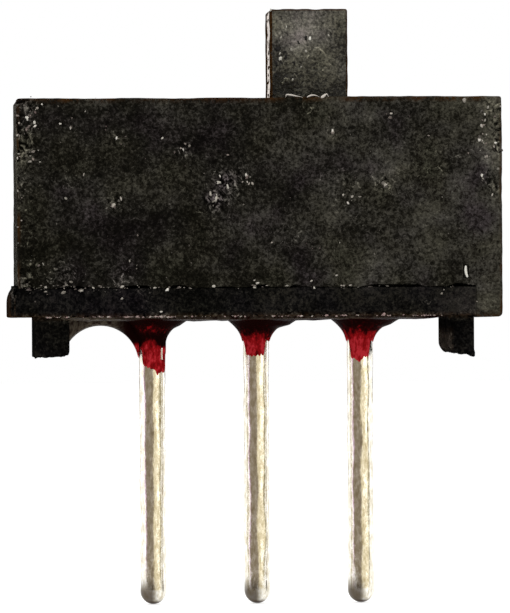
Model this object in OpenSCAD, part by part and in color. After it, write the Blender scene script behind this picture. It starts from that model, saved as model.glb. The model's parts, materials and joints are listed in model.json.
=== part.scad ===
// Subminiature slide switch for a printed board: one pole, two positions, three round terminals.
// Units are millimetres and +Z is up. The origin is on the middle terminal's axis, at the height of
// the board that the feet stand on. X runs along the row of terminals and Y from front to back.
// The slider is drawn at its right-hand stop, and its travel is one terminal pitch to the left.

/* [Terminals] */
// Distance between neighbouring terminals
pitch = 2.54; // [2.3:0.01:3.5]
// Diameter of the free part of a terminal
pin_d = 0.65; // [0.4:0.01:0.8]
// Reach of a terminal below the board seat
pin_reach = 6; // [2:0.1:12]
// Diameter of a terminal's shank, which the base holds
shank_d = 1; // [0.9:0.01:1.2]
// Length of shank that stands out of the base's underside, inside the resin
shank_drop = 0.2; // [0.1:0.01:0.3]
// Diameter of a terminal's contact head
head_d = 1.3; // [1.25:0.01:1.6]
// Thickness of a contact head
head_t = 0.2; // [0.12:0.01:0.3]
// Height by which a contact head stands above the base's plug
head_proud = 0.06; // [0.02:0.01:0.08]

/* [Cover] */
// Outside depth of the cover, front to back
cover_d = 4; // [3.3:0.1:6]
// Height from the base's underside to the top of the cover
body_h = 5.27; // [4.4:0.01:8]
// Thickness of the front and back walls
side_wall = 0.55; // [0.4:0.01:0.7]
// Thickness of the end walls
end_wall = 0.64; // [0.4:0.01:1]
// Thickness of the roof
roof_t = 0.6; // [0.4:0.01:0.9]
// Width of the slits that free the right end wall, which snaps over the base
slit_w = 0.09; // [0.05:0.01:0.2]
// Height of those slits above the seam
slit_h = 0.62; // [0.3:0.01:1.5]
// Radius of the catch inside that wall
catch_r = 0.08; // [0.05:0.01:0.12]
// Length of the catch, front to back
catch_l = 2; // [1:0.1:2.4]
// Radius of the upright outer edges
corner_r = 0.12; // [0.05:0.01:0.3]
// Radius of the top outer edges
top_r = 0.07; // [0.03:0.01:0.2]

/* [Base] */
// Thickness of the flange that closes the cover
flange_t = 0.7; // [0.4:0.01:1.2]
// Radius of the flange's long lower edges
flange_r = 0.05; // [0.02:0.01:0.2]
// Height of the plug that stands up inside the cover
plug_h = 0.55; // [0.3:0.01:0.9]
// Radius of the plug's upright edges
plug_r = 0.1; // [0.05:0.01:0.3]
// Height of the feet that hold the base off the board
foot_h = 1; // [0.6:0.01:2]
// Width of a foot along the switch
foot_w = 0.84; // [0.4:0.01:1]
// Depth of a foot, front to back
foot_d = 3; // [1.5:0.1:3.4]
// Distance from the end of the cover to a foot's outer side
foot_inset = 0.43; // [0.3:0.01:0.9]
// Radius of a foot's edges towards the middle of the switch
foot_r = 0.25; // [0.05:0.01:0.35]
// Thickness of the lip that stands outside the cover's left end
lip_t = 0.18; // [0.1:0.01:0.4]
// Radius of the lip's outer upper edge
lip_r = 0.55; // [0.4:0.01:0.8]
// Height above the base's underside at which the lip's edge starts to round
lip_h = 0.38; // [0.2:0.01:0.6]

/* [Resin seals] */
// Diameter of the well round each terminal in the base's underside
well_d = 1.5; // [1.3:0.01:1.8]
// Depth of a well
well_h = 0.25; // [0.1:0.01:0.35]
// Diameter of a drop of resin where it meets the base
drop_d = 1.9; // [1.85:0.01:2.2]
// Thickness of a drop at its rim
rim_t = 0.15; // [0.05:0.01:0.25]
// Radius of the hollow curve from the rim down to the terminal
meniscus_r = 0.66; // [0.45:0.01:0.7]
// Thickness of the resin where it ends on the terminal
film_t = 0.02; // [0.01:0.01:0.04]
// Radius of the arch in the resin between the left foot and its terminal
arch_r = 1.5; // [1.45:0.01:2]
// Height from the top of that arch down to where it meets the foot
arch_h = 0.36; // [0.2:0.01:0.4]
// Thickness of the resin at the top of that arch
arch_t = 0.21; // [0.1:0.01:0.3]
// Depth of the arch of resin, front to back
arch_d = 1.4; // [0.8:0.1:2]

/* [Slider] */
// Width of the stem along the switch
stem_w = 1.88; // [1.2:0.01:2.4]
// Depth of the stem, front to back
stem_d = 2; // [1.2:0.01:2.2]
// Height of the stem above the cover
stem_h = 2.18; // [1:0.01:5]
// Radius of the stem's edges
stem_r = 0.06; // [0.03:0.01:0.2]
// Length of the carriage that still lies under the roof beyond an end of the slot
lap = 0.1; // [0.05:0.01:0.5]
// Room between the carriage and the end wall at a stop
end_room = 0.32; // [0.1:0.01:1]
// Radius of the carriage's edges
carriage_r = 0.15; // [0.05:0.01:0.3]

/* [Moving contact] */
// Thickness of the contact bridge
bridge_t = 0.15; // [0.1:0.01:0.2]
// Width of the contact bridge, front to back
bridge_w = 1.2; // [1:0.01:1.5]
// Length of the bridge beyond each of its two contact points
bridge_end = 0.45; // [0.42:0.01:0.6]
// Radius of the bridge's corners
bridge_r = 0.2; // [0.05:0.01:0.4]
// Height of a pressed contact point below the bridge
point_h = 0.18; // [0.1:0.01:0.22]
// Radius of a pressed contact point
point_r = 0.4; // [0.3:0.01:0.5]
// Height of the pocket in the carriage that the bridge rides in
pocket_h = 0.7; // [0.6:0.01:0.8]
// Wire diameter of the contact spring
push_wire = 0.12; // [0.08:0.01:0.15]
// Mean coil diameter of the contact spring
push_coil = 0.66; // [0.5:0.01:0.8]
// Turns of the contact spring
push_turns = 4; // [3:1:5]

/* [Detent] */
// Diameter of a detent ball
ball_d = 0.8; // [0.6:0.01:0.96]
// Depth of a detent hollow in the cover's wall
hollow_h = 0.1; // [0.05:0.01:0.15]
// Material of the carriage above the detent bore
detent_roof = 0.4; // [0.3:0.01:0.6]
// Material between the detent bore and the contact spring's bore
detent_floor = 0.15; // [0.08:0.01:0.3]
// Wire diameter of the detent spring
click_wire = 0.1; // [0.06:0.01:0.12]
// Mean coil diameter of the detent spring
click_coil = 0.5; // [0.4:0.01:0.55]
// Turns of the detent spring
click_turns = 5; // [3:1:6]

/* [Clearances] */
// Gap on each side of a piece that slides
run_gap = 0.03; // [0.02:0.01:0.06]
// Gap between the stem and the end of the slot at a stop
stop_gap = 0.05; // [0.02:0.01:0.1]
// Gap on each side of a fixed piece that is pushed into another
fit_gap = 0.02; // [0.01:0.01:0.04]
// Gap between the bridge's contact points and the contact heads
contact_gap = 0.01; // [0.01:0.01:0.03]
// Gap between a coil and the bore that it lies in, or the ball that it bears on
coil_gap = 0.01; // [0.01:0.01:0.03]

/* [Hidden] */
$fn = 64;
// Rings of wire sections in one turn of a coil, and sides of a wire section
RINGS = 16;
SIDES = 8;
// How far a cutting shape runs past the face that it cuts
PAST = 1;
// Rise of a closed end turn, in wire diameters
CLOSED_RISE = 1.15;

// Along the switch
travel = pitch;
slide_x = travel / 2;
slot_half = slide_x + stem_w / 2 + stop_gap;
carriage_half = slide_x + slot_half + lap;
cavity_half = slide_x + carriage_half + end_room;
cover_half = cavity_half + end_wall;
lip_x = cover_half + lip_t;
flange_right = cavity_half - fit_gap;
foot_out = cover_half - foot_inset;
foot_in = foot_out - foot_w;

// Front to back
cavity_y = cover_d / 2 - side_wall;
carriage_y = cavity_y - run_gap;
ball_tip_y = cavity_y - run_gap;
ball_y = ball_tip_y - ball_d / 2;

// Upwards
base_z = foot_h;
seam_z = base_z + flange_t;
plug_z = seam_z + plug_h;
cover_z = base_z + body_h;
ceiling_z = cover_z - roof_t;
stem_z = cover_z + stem_h;
head_z = plug_z + head_proud;
head_seat_z = head_z - head_t;
bridge_z = head_z + contact_gap + point_h;
bridge_top_z = bridge_z + bridge_t;
carriage_z = head_z + run_gap;
pocket_z = carriage_z + pocket_h;
carriage_top_z = ceiling_z - run_gap;
detent_z = carriage_top_z - detent_roof - ball_d / 2;
push_top_z = detent_z - ball_d / 2 - run_gap - detent_floor;

// Round sizes
pin_r = pin_d / 2;
shank_r = shank_d / 2;
head_r = head_d / 2;
well_r = well_d / 2;
drop_r = drop_d / 2;
ball_r = ball_d / 2;
detent_bore_r = ball_r + run_gap;
push_bore_r = (push_coil + push_wire) / 2 + 5 * coil_gap;
bridge_half = pitch / 2 + bridge_end;

TERMINALS = [-pitch, 0, pitch];
BLACK = [0.10, 0.10, 0.09];
BLACK_BASE = [0.06, 0.06, 0.07];
RESIN = [0.42, 0.04, 0.06];
TINNED = [0.78, 0.75, 0.68];
GOLD = [0.83, 0.68, 0.36];
STEEL = [0.70, 0.71, 0.73];

// A rectangle from (x0, y0) to (x1, y1) with round corners of radius r
module round_rect(x0, y0, x1, y1, r) {
    translate([x0 + r, y0]) square([x1 - x0 - 2 * r, y1 - y0]);
    translate([x0, y0 + r]) square([x1 - x0, y1 - y0 - 2 * r]);
    for (x = [x0 + r, x1 - r], y = [y0 + r, y1 - r]) {
        translate([x, y]) circle(r);
    }
}

// A rectangle from (x0, z0) to (x1, z1) with only its two upper corners round
module arch_rect(x0, z0, x1, z1, r) {
    translate([x0, z0]) square([x1 - x0, z1 - z0 - r]);
    translate([x0 + r, z0]) square([x1 - x0 - 2 * r, z1 - z0]);
    for (x = [x0 + r, x1 - r]) {
        translate([x, z1 - r]) circle(r);
    }
}

// Extrudes an outline in X and Z over the depth from -half to half in Y
module along_y(half) {
    rotate([90, 0, 0]) linear_extrude(2 * half, center = true) children();
}

// Extrudes an outline in Y and Z over the length from x0 to x1
module along_x(x0, x1) {
    translate([x0, 0, 0])
        rotate([90, 0, 90])
            linear_extrude(x1 - x0) children();
}

// Extrudes an outline in X and Y from z0 to z1
module along_z(z0, z1) {
    translate([0, 0, z0]) linear_extrude(z1 - z0) children();
}

// A moulded block between x0 and x1, with round upright edges and round top edges
module moulded_block(x0, x1, half_y, z0, z1, upright_r, upper_r) {
    intersection() {
        along_z(z0, z1) round_rect(x0, -half_y, x1, half_y, upright_r);
        along_y(half_y) arch_rect(x0, z0, x1, z1, upper_r);
        along_x(x0, x1) arch_rect(-half_y, z0, half_y, z1, upper_r);
    }
}

// Cover: a moulded box, open below, with the stem's slot in its roof and four detent hollows in its
// front and back walls. Its right-hand end wall reaches down past the seam to the base's underside,
// and a slit through each long wall lets it spring until its catch snaps into the base's groove.
module cover() {
    color(BLACK) {
        end_catch(0);
        difference() {
            moulded_block(-cover_half, cover_half, cover_d / 2, base_z, cover_z, corner_r, top_r);
            along_y(cover_d) {
                translate([-cover_half - PAST, base_z - PAST])
                    square([cover_half + cavity_half + PAST, flange_t + PAST]);
            }
            along_z(base_z - PAST, ceiling_z)
                translate([-cavity_half, -cavity_y]) square([2 * cavity_half, 2 * cavity_y]);
            along_z(ceiling_z - PAST, cover_z + PAST) slot();
            along_y(cover_d) {
                translate([cavity_half - slit_w, seam_z - PAST]) square([slit_w, slit_h + PAST]);
            }
            for (x = [-slide_x, slide_x], side = [-1, 1]) {
                translate([x, side * cavity_y, detent_z]) detent_hollow(side);
            }
        }
    }
}

// The round catch on the inside of the end wall, at half the flange's height, grown by a gap
module end_catch(gap) {
    along_y(catch_l / 2 + gap) {
        translate([cavity_half, base_z + flange_t / 2]) circle(catch_r + gap);
    }
}

// Plan of the slot: the stem's plan swept over its travel, with the clearances round it
module slot() {
    slot_y = stem_d / 2 + run_gap;
    round_rect(-slot_half, -slot_y, slot_half, slot_y, stem_r);
}

// The ball's own round, a little larger, sunk into the wall by the depth of the hollow
module detent_hollow(side) {
    translate([0, side * (hollow_h - detent_bore_r), 0]) sphere(detent_bore_r);
}

// Base: a flange as deep as the cover, a plug that fits the cavity, two feet and a lip that laps
// the outside of the cover's left end. Each terminal has a stepped hole and a well for its resin,
// and the flange's right end has a groove for the cover's catch.
module base() {
    color(BLACK_BASE)
        difference() {
            union() {
                flange();
                along_z(seam_z - flange_t / 2, plug_z) plug_plan();
                foot(-foot_out, -foot_in, false);
                foot(foot_in, min(foot_out, flange_right), true);
            }
            for (x = TERMINALS) {
                translate([x, 0, 0]) terminal_hole();
            }
            end_catch(fit_gap);
        }
}

// The flange. Its left end is rounded up into the lip, and its right end is square, against the cover.
module flange() {
    intersection() {
        along_z(base_z, seam_z + lip_r) {
            round_rect(-lip_x, -cover_d / 2, flange_right + 2 * corner_r, cover_d / 2, corner_r);
        }
        along_y(cover_d) {
            translate([-cover_half, base_z]) square([flange_right + cover_half, flange_t]);
            lip_profile();
        }
        along_x(-lip_x, flange_right) {
            mirror([0, 1]) arch_rect(-cover_d / 2, -seam_z - lip_r, cover_d / 2, -base_z, flange_r);
        }
    }
}

// The lip's section: straight up from the underside, then round towards the cover's wall
module lip_profile() {
    intersection() {
        translate([-lip_x, base_z]) square([lip_t, lip_h + lip_r]);
        union() {
            translate([-lip_x, base_z]) square([2 * lip_r, lip_h]);
            translate([lip_r - lip_x, base_z + lip_h]) circle(lip_r);
        }
    }
}

module plug_plan() {
    plug_x = cavity_half - fit_gap;
    plug_y = cavity_y - fit_gap;
    round_rect(-plug_x, -plug_y, plug_x, plug_y, plug_r);
}

// A foot between x0 and x1, its edges towards the middle of the switch rounded
module foot(x0, x1, round_left) {
    round_x = round_left ? x0 + foot_r : x1 - foot_r;
    corner_x = round_left ? x0 - PAST : round_x;
    intersection() {
        along_y(foot_d) {
            difference() {
                translate([x0, 0]) square([x1 - x0, base_z + flange_t / 2]);
                translate([corner_x, -PAST]) square([foot_r + PAST, foot_r + PAST]);
            }
            translate([round_x, foot_r]) circle(foot_r);
        }
        along_z(-PAST, seam_z) {
            round_rect(
                round_left ? x0 : x0 - 2 * foot_r, -foot_d / 2,
                round_left ? x1 + 2 * foot_r : x1, foot_d / 2, foot_r
            );
        }
    }
}

// Hole through the base for a terminal: resin well, shank bore and the seat of the contact head
module terminal_hole() {
    along_z(base_z - PAST, base_z + well_h) circle(well_r);
    along_z(base_z, plug_z) circle(shank_r + fit_gap);
    along_z(head_seat_z, plug_z + PAST) circle(head_r + fit_gap);
}

// Half section of a terminal: round tip, free pin, shank and contact head
module terminal_profile() {
    intersection() {
        translate([0, pin_r - pin_reach]) circle(pin_r);
        translate([0, -pin_reach]) square([pin_r, pin_d]);
    }
    translate([0, pin_r - pin_reach]) square([pin_r, head_seat_z + pin_reach - pin_r]);
    translate([0, base_z - shank_drop]) square([shank_r, head_z - base_z + shank_drop]);
    translate([0, head_seat_z]) square([head_r, head_t]);
}

module terminal(x) {
    color(TINNED) translate([x, 0, 0]) rotate_extrude() terminal_profile();
}

module terminal_left() {
    terminal(-pitch);
}

module terminal_common() {
    terminal(0);
}

module terminal_right() {
    terminal(pitch);
}

// Half section of a drop of resin: it fills the well and runs out on the terminal in a hollow curve
module drop_profile() {
    curve_x = pin_r + film_t + meniscus_r;
    curve_z = base_z - rim_t - meniscus_r;
    difference() {
        union() {
            translate([0, curve_z]) square([drop_r, base_z - curve_z]);
            translate([0, base_z - rim_t]) square([well_r, rim_t + well_h]);
        }
        translate([curve_x, curve_z]) circle(meniscus_r);
        translate([curve_x, curve_z]) square([drop_r, meniscus_r]);
        translate([0, base_z]) square([shank_r + fit_gap, well_h + PAST]);
        terminal_profile();
    }
}

module drop(x) {
    translate([x, 0, 0]) rotate_extrude() drop_profile();
}

// The left drop has run on to the foot beside it, and hangs between them in a flat arch
module seal_left() {
    arch_top = base_z - arch_t;
    arch_x = -foot_in + sqrt(arch_r * arch_r - pow(arch_r - arch_h, 2));
    arch_l = foot_in - pitch - shank_r - fit_gap;
    color(RESIN) {
        drop(-pitch);
        along_y(arch_d / 2) {
            difference() {
                translate([-foot_in, arch_top - arch_h]) square([arch_l, arch_h + arch_t]);
                translate([arch_x, arch_top - arch_r]) circle(arch_r);
            }
        }
    }
}

module seal_common() {
    color(RESIN) drop(0);
}

module seal_right() {
    color(RESIN) drop(pitch);
}

// Slider: carriage and stem in one moulding. The contact bridge rides in a pocket below, under a
// coil spring in an upright bore, and a cross bore holds the two detent balls and their spring.
module slider() {
    color(BLACK)
        translate([slide_x, 0, 0])
            difference() {
                union() {
                    moulded_block(
                        -carriage_half, carriage_half, carriage_y,
                        carriage_z, carriage_top_z, carriage_r, carriage_r / 2
                    );
                    moulded_block(-stem_w / 2, stem_w / 2, stem_d / 2, carriage_z, stem_z, stem_r, stem_r);
                }
                along_z(carriage_z - PAST, pocket_z) bridge_plan(run_gap + coil_gap);
                along_z(carriage_z, push_top_z) circle(push_bore_r);
                translate([0, 0, detent_z]) along_y(cover_d) circle(detent_bore_r);
            }
}

// Plan of the contact bridge, grown by a gap on every side
module bridge_plan(gap) {
    x = bridge_half + gap;
    y = bridge_w / 2 + gap;
    round_rect(-x, -y, x, y, bridge_r + gap);
}

// Contact bridge: a stamped strip with two pressed contact points, one terminal pitch apart
module contact_bridge() {
    point_z = bridge_z - point_h + point_r;
    color(GOLD)
        translate([slide_x, 0, 0])
            difference() {
                union() {
                    along_z(bridge_z, bridge_top_z) bridge_plan(0);
                    for (x = [-pitch / 2, pitch / 2]) {
                        translate([x, 0, point_z]) pressed_point(point_r);
                    }
                }
                for (x = [-pitch / 2, pitch / 2]) {
                    translate([x, 0, point_z]) sphere(point_r - bridge_t);
                }
            }
}

// The part of a ball of radius r that lies below the bridge's middle
module pressed_point(r) {
    intersection() {
        sphere(r);
        translate([-r, -r, -2 * r]) cube([2 * r, 2 * r, r + point_h + bridge_t / 2]);
    }
}

// Share of the rise at turn t of a coil with closed end turns
function coil_rise(t, turns, end_rise, mid_rise) =
    t < 1 ? t * end_rise :
    t > turns - 1 ? end_rise + (turns - 2) * mid_rise + (t - turns + 1) * end_rise :
    end_rise + (t - 1) * mid_rise;

// Points of one wire section at turn t: a circle in the plane of the coil's axis
function wire_ring(t, coil_r, wire_r, z) = [
    for (s = [0 : SIDES - 1])
        let (a = 360 * (s + 0.5) / SIDES, r = coil_r + wire_r * cos(a))
            [r * cos(360 * t), r * sin(360 * t), z + wire_r * sin(a)]
];

// A round wire wound into a coil that fills a height, with its two end turns closed
module coil(coil_d, wire_d, turns, height) {
    end_rise = CLOSED_RISE * wire_d;
    mid_rise = (height - wire_d - 2 * end_rise) / (turns - 2);
    count = turns * RINGS;
    points = [
        for (i = [0 : count])
            each wire_ring(
                i / RINGS, coil_d / 2, wire_d / 2,
                wire_d / 2 + coil_rise(i / RINGS, turns, end_rise, mid_rise)
            )
    ];
    sides = [
        for (i = [0 : count - 1], s = [0 : SIDES - 1])
            let (n = (s + 1) % SIDES, low = i * SIDES, high = low + SIDES)
                [low + s, high + s, high + n, low + n]
    ];
    first = [for (s = [0 : SIDES - 1]) s];
    last = [for (s = [SIDES - 1 : -1 : 0]) count * SIDES + s];
    polyhedron(points, concat(sides, [first], [last]), convexity = 8);
}

// Contact spring, between the bridge and the top of its bore
module contact_spring() {
    color(STEEL)
        translate([slide_x, 0, bridge_top_z])
            coil(push_coil, push_wire, push_turns, push_top_z - bridge_top_z);
}

// Detent spring: its end turns bear on the round of the two balls
module detent_spring() {
    bearing_r = ball_r + click_wire / 2 + coil_gap;
    half = ball_y - sqrt(bearing_r * bearing_r - click_coil * click_coil / 4) + click_wire / 2;
    color(STEEL)
        translate([slide_x, half, detent_z])
            rotate([90, 0, 0])
                coil(click_coil, click_wire, click_turns, 2 * half);
}

module detent_ball(side) {
    color(STEEL) translate([slide_x, side * ball_y, detent_z]) sphere(ball_r);
}

module detent_ball_front() {
    detent_ball(-1);
}

module detent_ball_back() {
    detent_ball(1);
}

cover();
base();
slider();
contact_bridge();
contact_spring();
detent_spring();
detent_ball_front();
detent_ball_back();
terminal_left();
terminal_common();
terminal_right();
seal_left();
seal_common();
seal_right();
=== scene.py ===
"""A subminiature slide switch, finished: moulded cover, base and slider, tinned pins, red resin.

Lengths are in millimetres until mesh_of turns them to metres, in the switch's own frame: X along
the row of terminals, Y from front to back and Z upwards, with the origin on the middle terminal at
the height of the circuit board.
"""

import json
import math
from functools import partial
from types import SimpleNamespace

import bmesh
import bpy
import numpy as np
from bpy.props import FloatProperty, FloatVectorProperty, IntProperty, PointerProperty
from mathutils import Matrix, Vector


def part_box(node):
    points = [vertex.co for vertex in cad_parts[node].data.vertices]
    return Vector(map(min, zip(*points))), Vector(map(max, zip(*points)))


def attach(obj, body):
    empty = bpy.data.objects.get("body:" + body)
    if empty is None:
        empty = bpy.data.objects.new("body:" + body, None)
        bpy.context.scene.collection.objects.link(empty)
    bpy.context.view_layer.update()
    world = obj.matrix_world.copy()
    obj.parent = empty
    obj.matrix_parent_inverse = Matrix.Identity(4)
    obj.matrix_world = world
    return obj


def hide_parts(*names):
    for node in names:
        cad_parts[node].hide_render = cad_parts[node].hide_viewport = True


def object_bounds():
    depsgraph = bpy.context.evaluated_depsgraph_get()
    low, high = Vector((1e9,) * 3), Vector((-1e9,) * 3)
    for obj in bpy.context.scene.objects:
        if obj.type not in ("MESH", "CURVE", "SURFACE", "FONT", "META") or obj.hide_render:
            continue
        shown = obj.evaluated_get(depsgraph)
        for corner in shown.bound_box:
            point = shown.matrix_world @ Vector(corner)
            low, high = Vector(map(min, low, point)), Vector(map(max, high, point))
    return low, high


bl_info = {
    "name": "Slide Switch",
    "version": (1, 0, 0),
    "blender": (4, 5, 0),
    "location": "View3D > Sidebar > Slide Switch",
    "description": "Builds the visible pieces of a slide switch, their finishes and its stage",
    "category": "Add Mesh",
}

MM = 0.001
# How far a cutting tool goes past a face, and a mesh step that leaves a side whole
PAST, WHOLE = 1.0, 1000.0

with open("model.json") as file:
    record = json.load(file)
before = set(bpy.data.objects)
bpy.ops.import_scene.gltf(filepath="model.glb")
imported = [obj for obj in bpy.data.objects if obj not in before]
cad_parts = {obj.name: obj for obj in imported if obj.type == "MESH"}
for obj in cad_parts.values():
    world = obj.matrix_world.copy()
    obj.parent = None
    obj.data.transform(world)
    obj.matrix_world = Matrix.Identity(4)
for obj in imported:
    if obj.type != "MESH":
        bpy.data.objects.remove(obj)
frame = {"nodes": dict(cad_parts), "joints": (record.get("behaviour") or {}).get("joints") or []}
CAD_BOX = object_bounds()


def corners(node):
    """Lowest and highest corner of a CAD node, in millimetres."""
    return np.array([list(corner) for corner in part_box(node)]) / MM


COVER_LOW, COVER_HIGH = corners("cover")
BASE_LOW, BASE_HIGH = corners("base")
SLIDER_LOW, SLIDER_HIGH = corners("slider")
TERMINALS = ("terminal_left", "terminal_common", "terminal_right")
SEALS = ("seal_left", "seal_common", "seal_right")
PITCH = corners("terminal_right")[0][0] - corners("terminal_common")[0][0]
STEM_X = frame["joints"][0]["range_m"][1] / 2 / MM
UNDER = COVER_LOW[2]


# --- settings


def linear(code):
    """An sRGB hex code as linear red, green, blue and alpha."""
    share = np.array([int(code[i : i + 2], 16) for i in (1, 3, 5)]) / 255
    value = np.where(share <= 0.04045, share / 12.92, ((share + 0.055) / 1.055) ** 2.4)
    return (*value.tolist(), 1.0)


def shade(colour, share):
    """A linear colour times a share."""
    return (*(share * part for part in colour[:3]), 1.0)


def length(label, millimetres, about):
    """A length that a user may change, with its default given in millimetres."""
    default = millimetres * MM
    return FloatProperty(name=label, description=about, default=default, unit="LENGTH", precision=5)


def tint(label, code, about):
    """A colour that a user may change, with its default given as an sRGB hex code."""
    return FloatVectorProperty(
        name=label, description=about, default=linear(code), size=4, subtype="COLOR", min=0, max=1
    )


class SwitchSizes(bpy.types.PropertyGroup):
    """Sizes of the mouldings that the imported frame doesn't give by itself."""

    end_wall: length("End wall", 0.64, "Thickness of the cover's end walls")
    side_wall: length("Side wall", 0.55, "Thickness of the cover's front and back walls")
    roof: length("Roof", 0.6, "Thickness of the cover's roof")
    flange: length("Flange", 0.7, "Thickness of the base's flange, up to the seam")
    foot_width: length("Foot width", 0.84, "Width of a foot along the switch")
    foot_depth: length("Foot depth", 3.0, "Depth of a foot, front to back")
    foot_inset: length("Foot inset", 0.43, "Distance from the end of the cover to a foot")
    foot_round: length("Foot rounding", 0.25, "Radius of a foot's edges towards the middle")
    stem_width: length("Stem width", 1.88, "Width of the stem along the switch")
    stem_depth: length("Stem depth", 2.0, "Depth of the stem, front to back")
    pin: length("Pin", 0.65, "Diameter of a terminal's free part")
    shank: length("Shank", 1.0, "Diameter of a terminal's shank inside the base")
    upright: length("Upright edges", 0.12, "Radius of the cover's upright edges")
    top_edge: length("Top edges", 0.07, "Radius of the cover's top edges")
    soft_edge: length("Soft edges", 0.05, "Radius of the base's long edges")
    step: length("Mesh step", 0.09, "Distance between neighbouring points on large faces")


class SwitchColours(bpy.types.PropertyGroup):
    """Colours of the switch's materials."""

    plastic: tint("Plastic", "#1d1b17", "The cover's black plastic")
    plastic_pale: tint("Scuffed plastic", "#706c63", "The same plastic where it is scuffed")
    base: tint("Base plastic", "#100f0f", "The base's blacker plastic")
    base_pale: tint("Scuffed base", "#48443f", "The base where it is scuffed")
    stem: tint("Stem plastic", "#1c1a16", "The stem, handled until it is grey")
    stem_pale: tint("Scuffed stem", "#928d80", "The stem where it is scuffed")
    # Also the dark brown of the painted shade on the stem's edges
    rubbed: tint("Rubbed edge", "#33200f", "Brown of the edges that are rubbed through")
    # Used only by the painted shade on the stem's edges
    shaded_edge_pale: tint("Pale shaded edge", "#8a6a45", "Where the painted shade on the stem's edges is palest")
    dust: tint("Dust", "#d9d6cb", "Dust and chips")
    tin: tint("Tin", "#e2ddd0", "Hot-tinned brass")
    resin: tint("Resin", "#a8161b", "Red resin where it is thin")
    resin_deep: tint("Deep resin", "#170504", "Red resin where it is thick")


class SwitchMarks(bpy.types.PropertyGroup):
    """How much dust the switch carries."""

    seed: IntProperty(name="Seed", description="Seed of the scattered dust", default=11, min=0)
    flecks: IntProperty(name="Flecks", description="Number of strewn flecks", default=150, min=1)


def settings(context):
    """The sizes, turned to millimetres, and the colours."""
    group = context.scene.switch_sizes
    sizes = {name: getattr(group, name) / MM for name in SwitchSizes.__annotations__}
    return SimpleNamespace(**sizes), context.scene.switch_colours


# --- surfaces


def ripple(points, size, seed):
    """Smooth unevenness of about -1 to 1: a sum of 20 sine waves of one length, each in a seeded
    random direction and phase, divided by the root of half their number."""
    rng = np.random.default_rng(seed)
    ways = rng.normal(size=(20, 3))
    ways /= np.linalg.norm(ways, axis=1, keepdims=True)
    phases = rng.uniform(0, 2 * math.pi, 20)
    return np.sin(points @ ways.T * (2 * math.pi / size) + phases).sum(-1) / math.sqrt(10)


def smooth(value, start, end):
    """0 before start, 1 after end, and 3t^2 - 2t^3 of the share t between them."""
    share = np.clip((value - start) / (end - start), 0, 1)
    return share * share * (3 - 2 * share)


def bell(offset, width):
    """A bell curve, exp(-(offset / width)^2)."""
    return np.exp(-((offset / width) ** 2))


def dented(points, depth):
    """Each point moves inwards, by its own depth, from the faces of the box that it lies on."""
    low, high = points.min((0, 1)), points.max((0, 1))
    offset, half = points - (low + high) / 2, (high - low) / 2
    near = smooth(np.abs(offset), half - 0.05, half)
    return points - np.sign(offset) * near * depth[..., None]


def grid_faces(rows, columns):
    """Four-cornered faces of a grid whose last column joins its first: each point with its
    right, upper right and upper neighbours."""
    row, column = np.meshgrid(np.arange(rows - 1), np.arange(columns), indexing="ij")
    right = (column + 1) % columns
    low, high = row * columns, (row + 1) * columns
    return np.stack([low + column, low + right, high + right, high + column], -1).reshape(-1, 4)


def mesh_of(name, points, faces):
    """A mesh in metres, with its doubles merged and then its normals turned outwards."""
    mesh = bpy.data.meshes.new(name)
    mesh.vertices.add(len(points))
    mesh.vertices.foreach_set("co", np.asarray(points * MM, np.float32).ravel())
    mesh.loops.add(faces.size)
    mesh.loops.foreach_set("vertex_index", faces.ravel().astype(np.int32))
    mesh.polygons.add(len(faces))
    mesh.polygons.foreach_set("loop_start", np.arange(0, faces.size, 4, dtype=np.int32))
    mesh.update(calc_edges=True)
    work = bmesh.new()
    work.from_mesh(mesh)
    bmesh.ops.remove_doubles(work, verts=work.verts, dist=0.0002 * MM)
    bmesh.ops.recalc_face_normals(work, faces=work.faces)
    work.to_mesh(mesh)
    work.free()
    return mesh


def closed_grid(name, points):
    """The mesh of a grid of rows whose first and last rows each run together in a point."""
    return mesh_of(name, points.reshape(-1, 3), grid_faces(*points.shape[:2]))


def ring_grid(name, points):
    """The mesh of a grid whose last row also joins its first, so that it is a closed ring."""
    return closed_grid(name, np.concatenate([points, points[:1]]))


def round_outline(low, high, radii, step):
    """A rectangle's outline with round corners, anticlockwise from the lower right corner: each
    corner is a quarter circle and each side is split equally. Gives points and normals."""
    (x0, y0), (x1, y1) = low, high
    radii = np.broadcast_to(radii, 4)
    inward = np.array([(-1, 1), (-1, -1), (1, -1), (1, 1)])
    centres = np.array([(x1, y0), (x1, y1), (x0, y1), (x0, y0)]) + radii[:, None] * inward
    points, normals = [], []
    for k in range(4):
        turn = math.radians(90 * k - 90) + np.linspace(0, math.pi / 2, 7)
        outward = np.stack([np.cos(turn), np.sin(turn)], -1)
        arc = centres[k] + radii[k] * outward
        side = centres[(k + 1) % 4] + radii[(k + 1) % 4] * outward[-1] - arc[-1]
        count = max(2, round(float(np.linalg.norm(side)) / step))
        points += [arc, arc[-1] + side * np.linspace(0, 1, count + 1)[1:-1, None]]
        normals += [outward, np.repeat(outward[-1:], count - 1, 0)]
    return np.concatenate(points), np.concatenate(normals)


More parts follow.
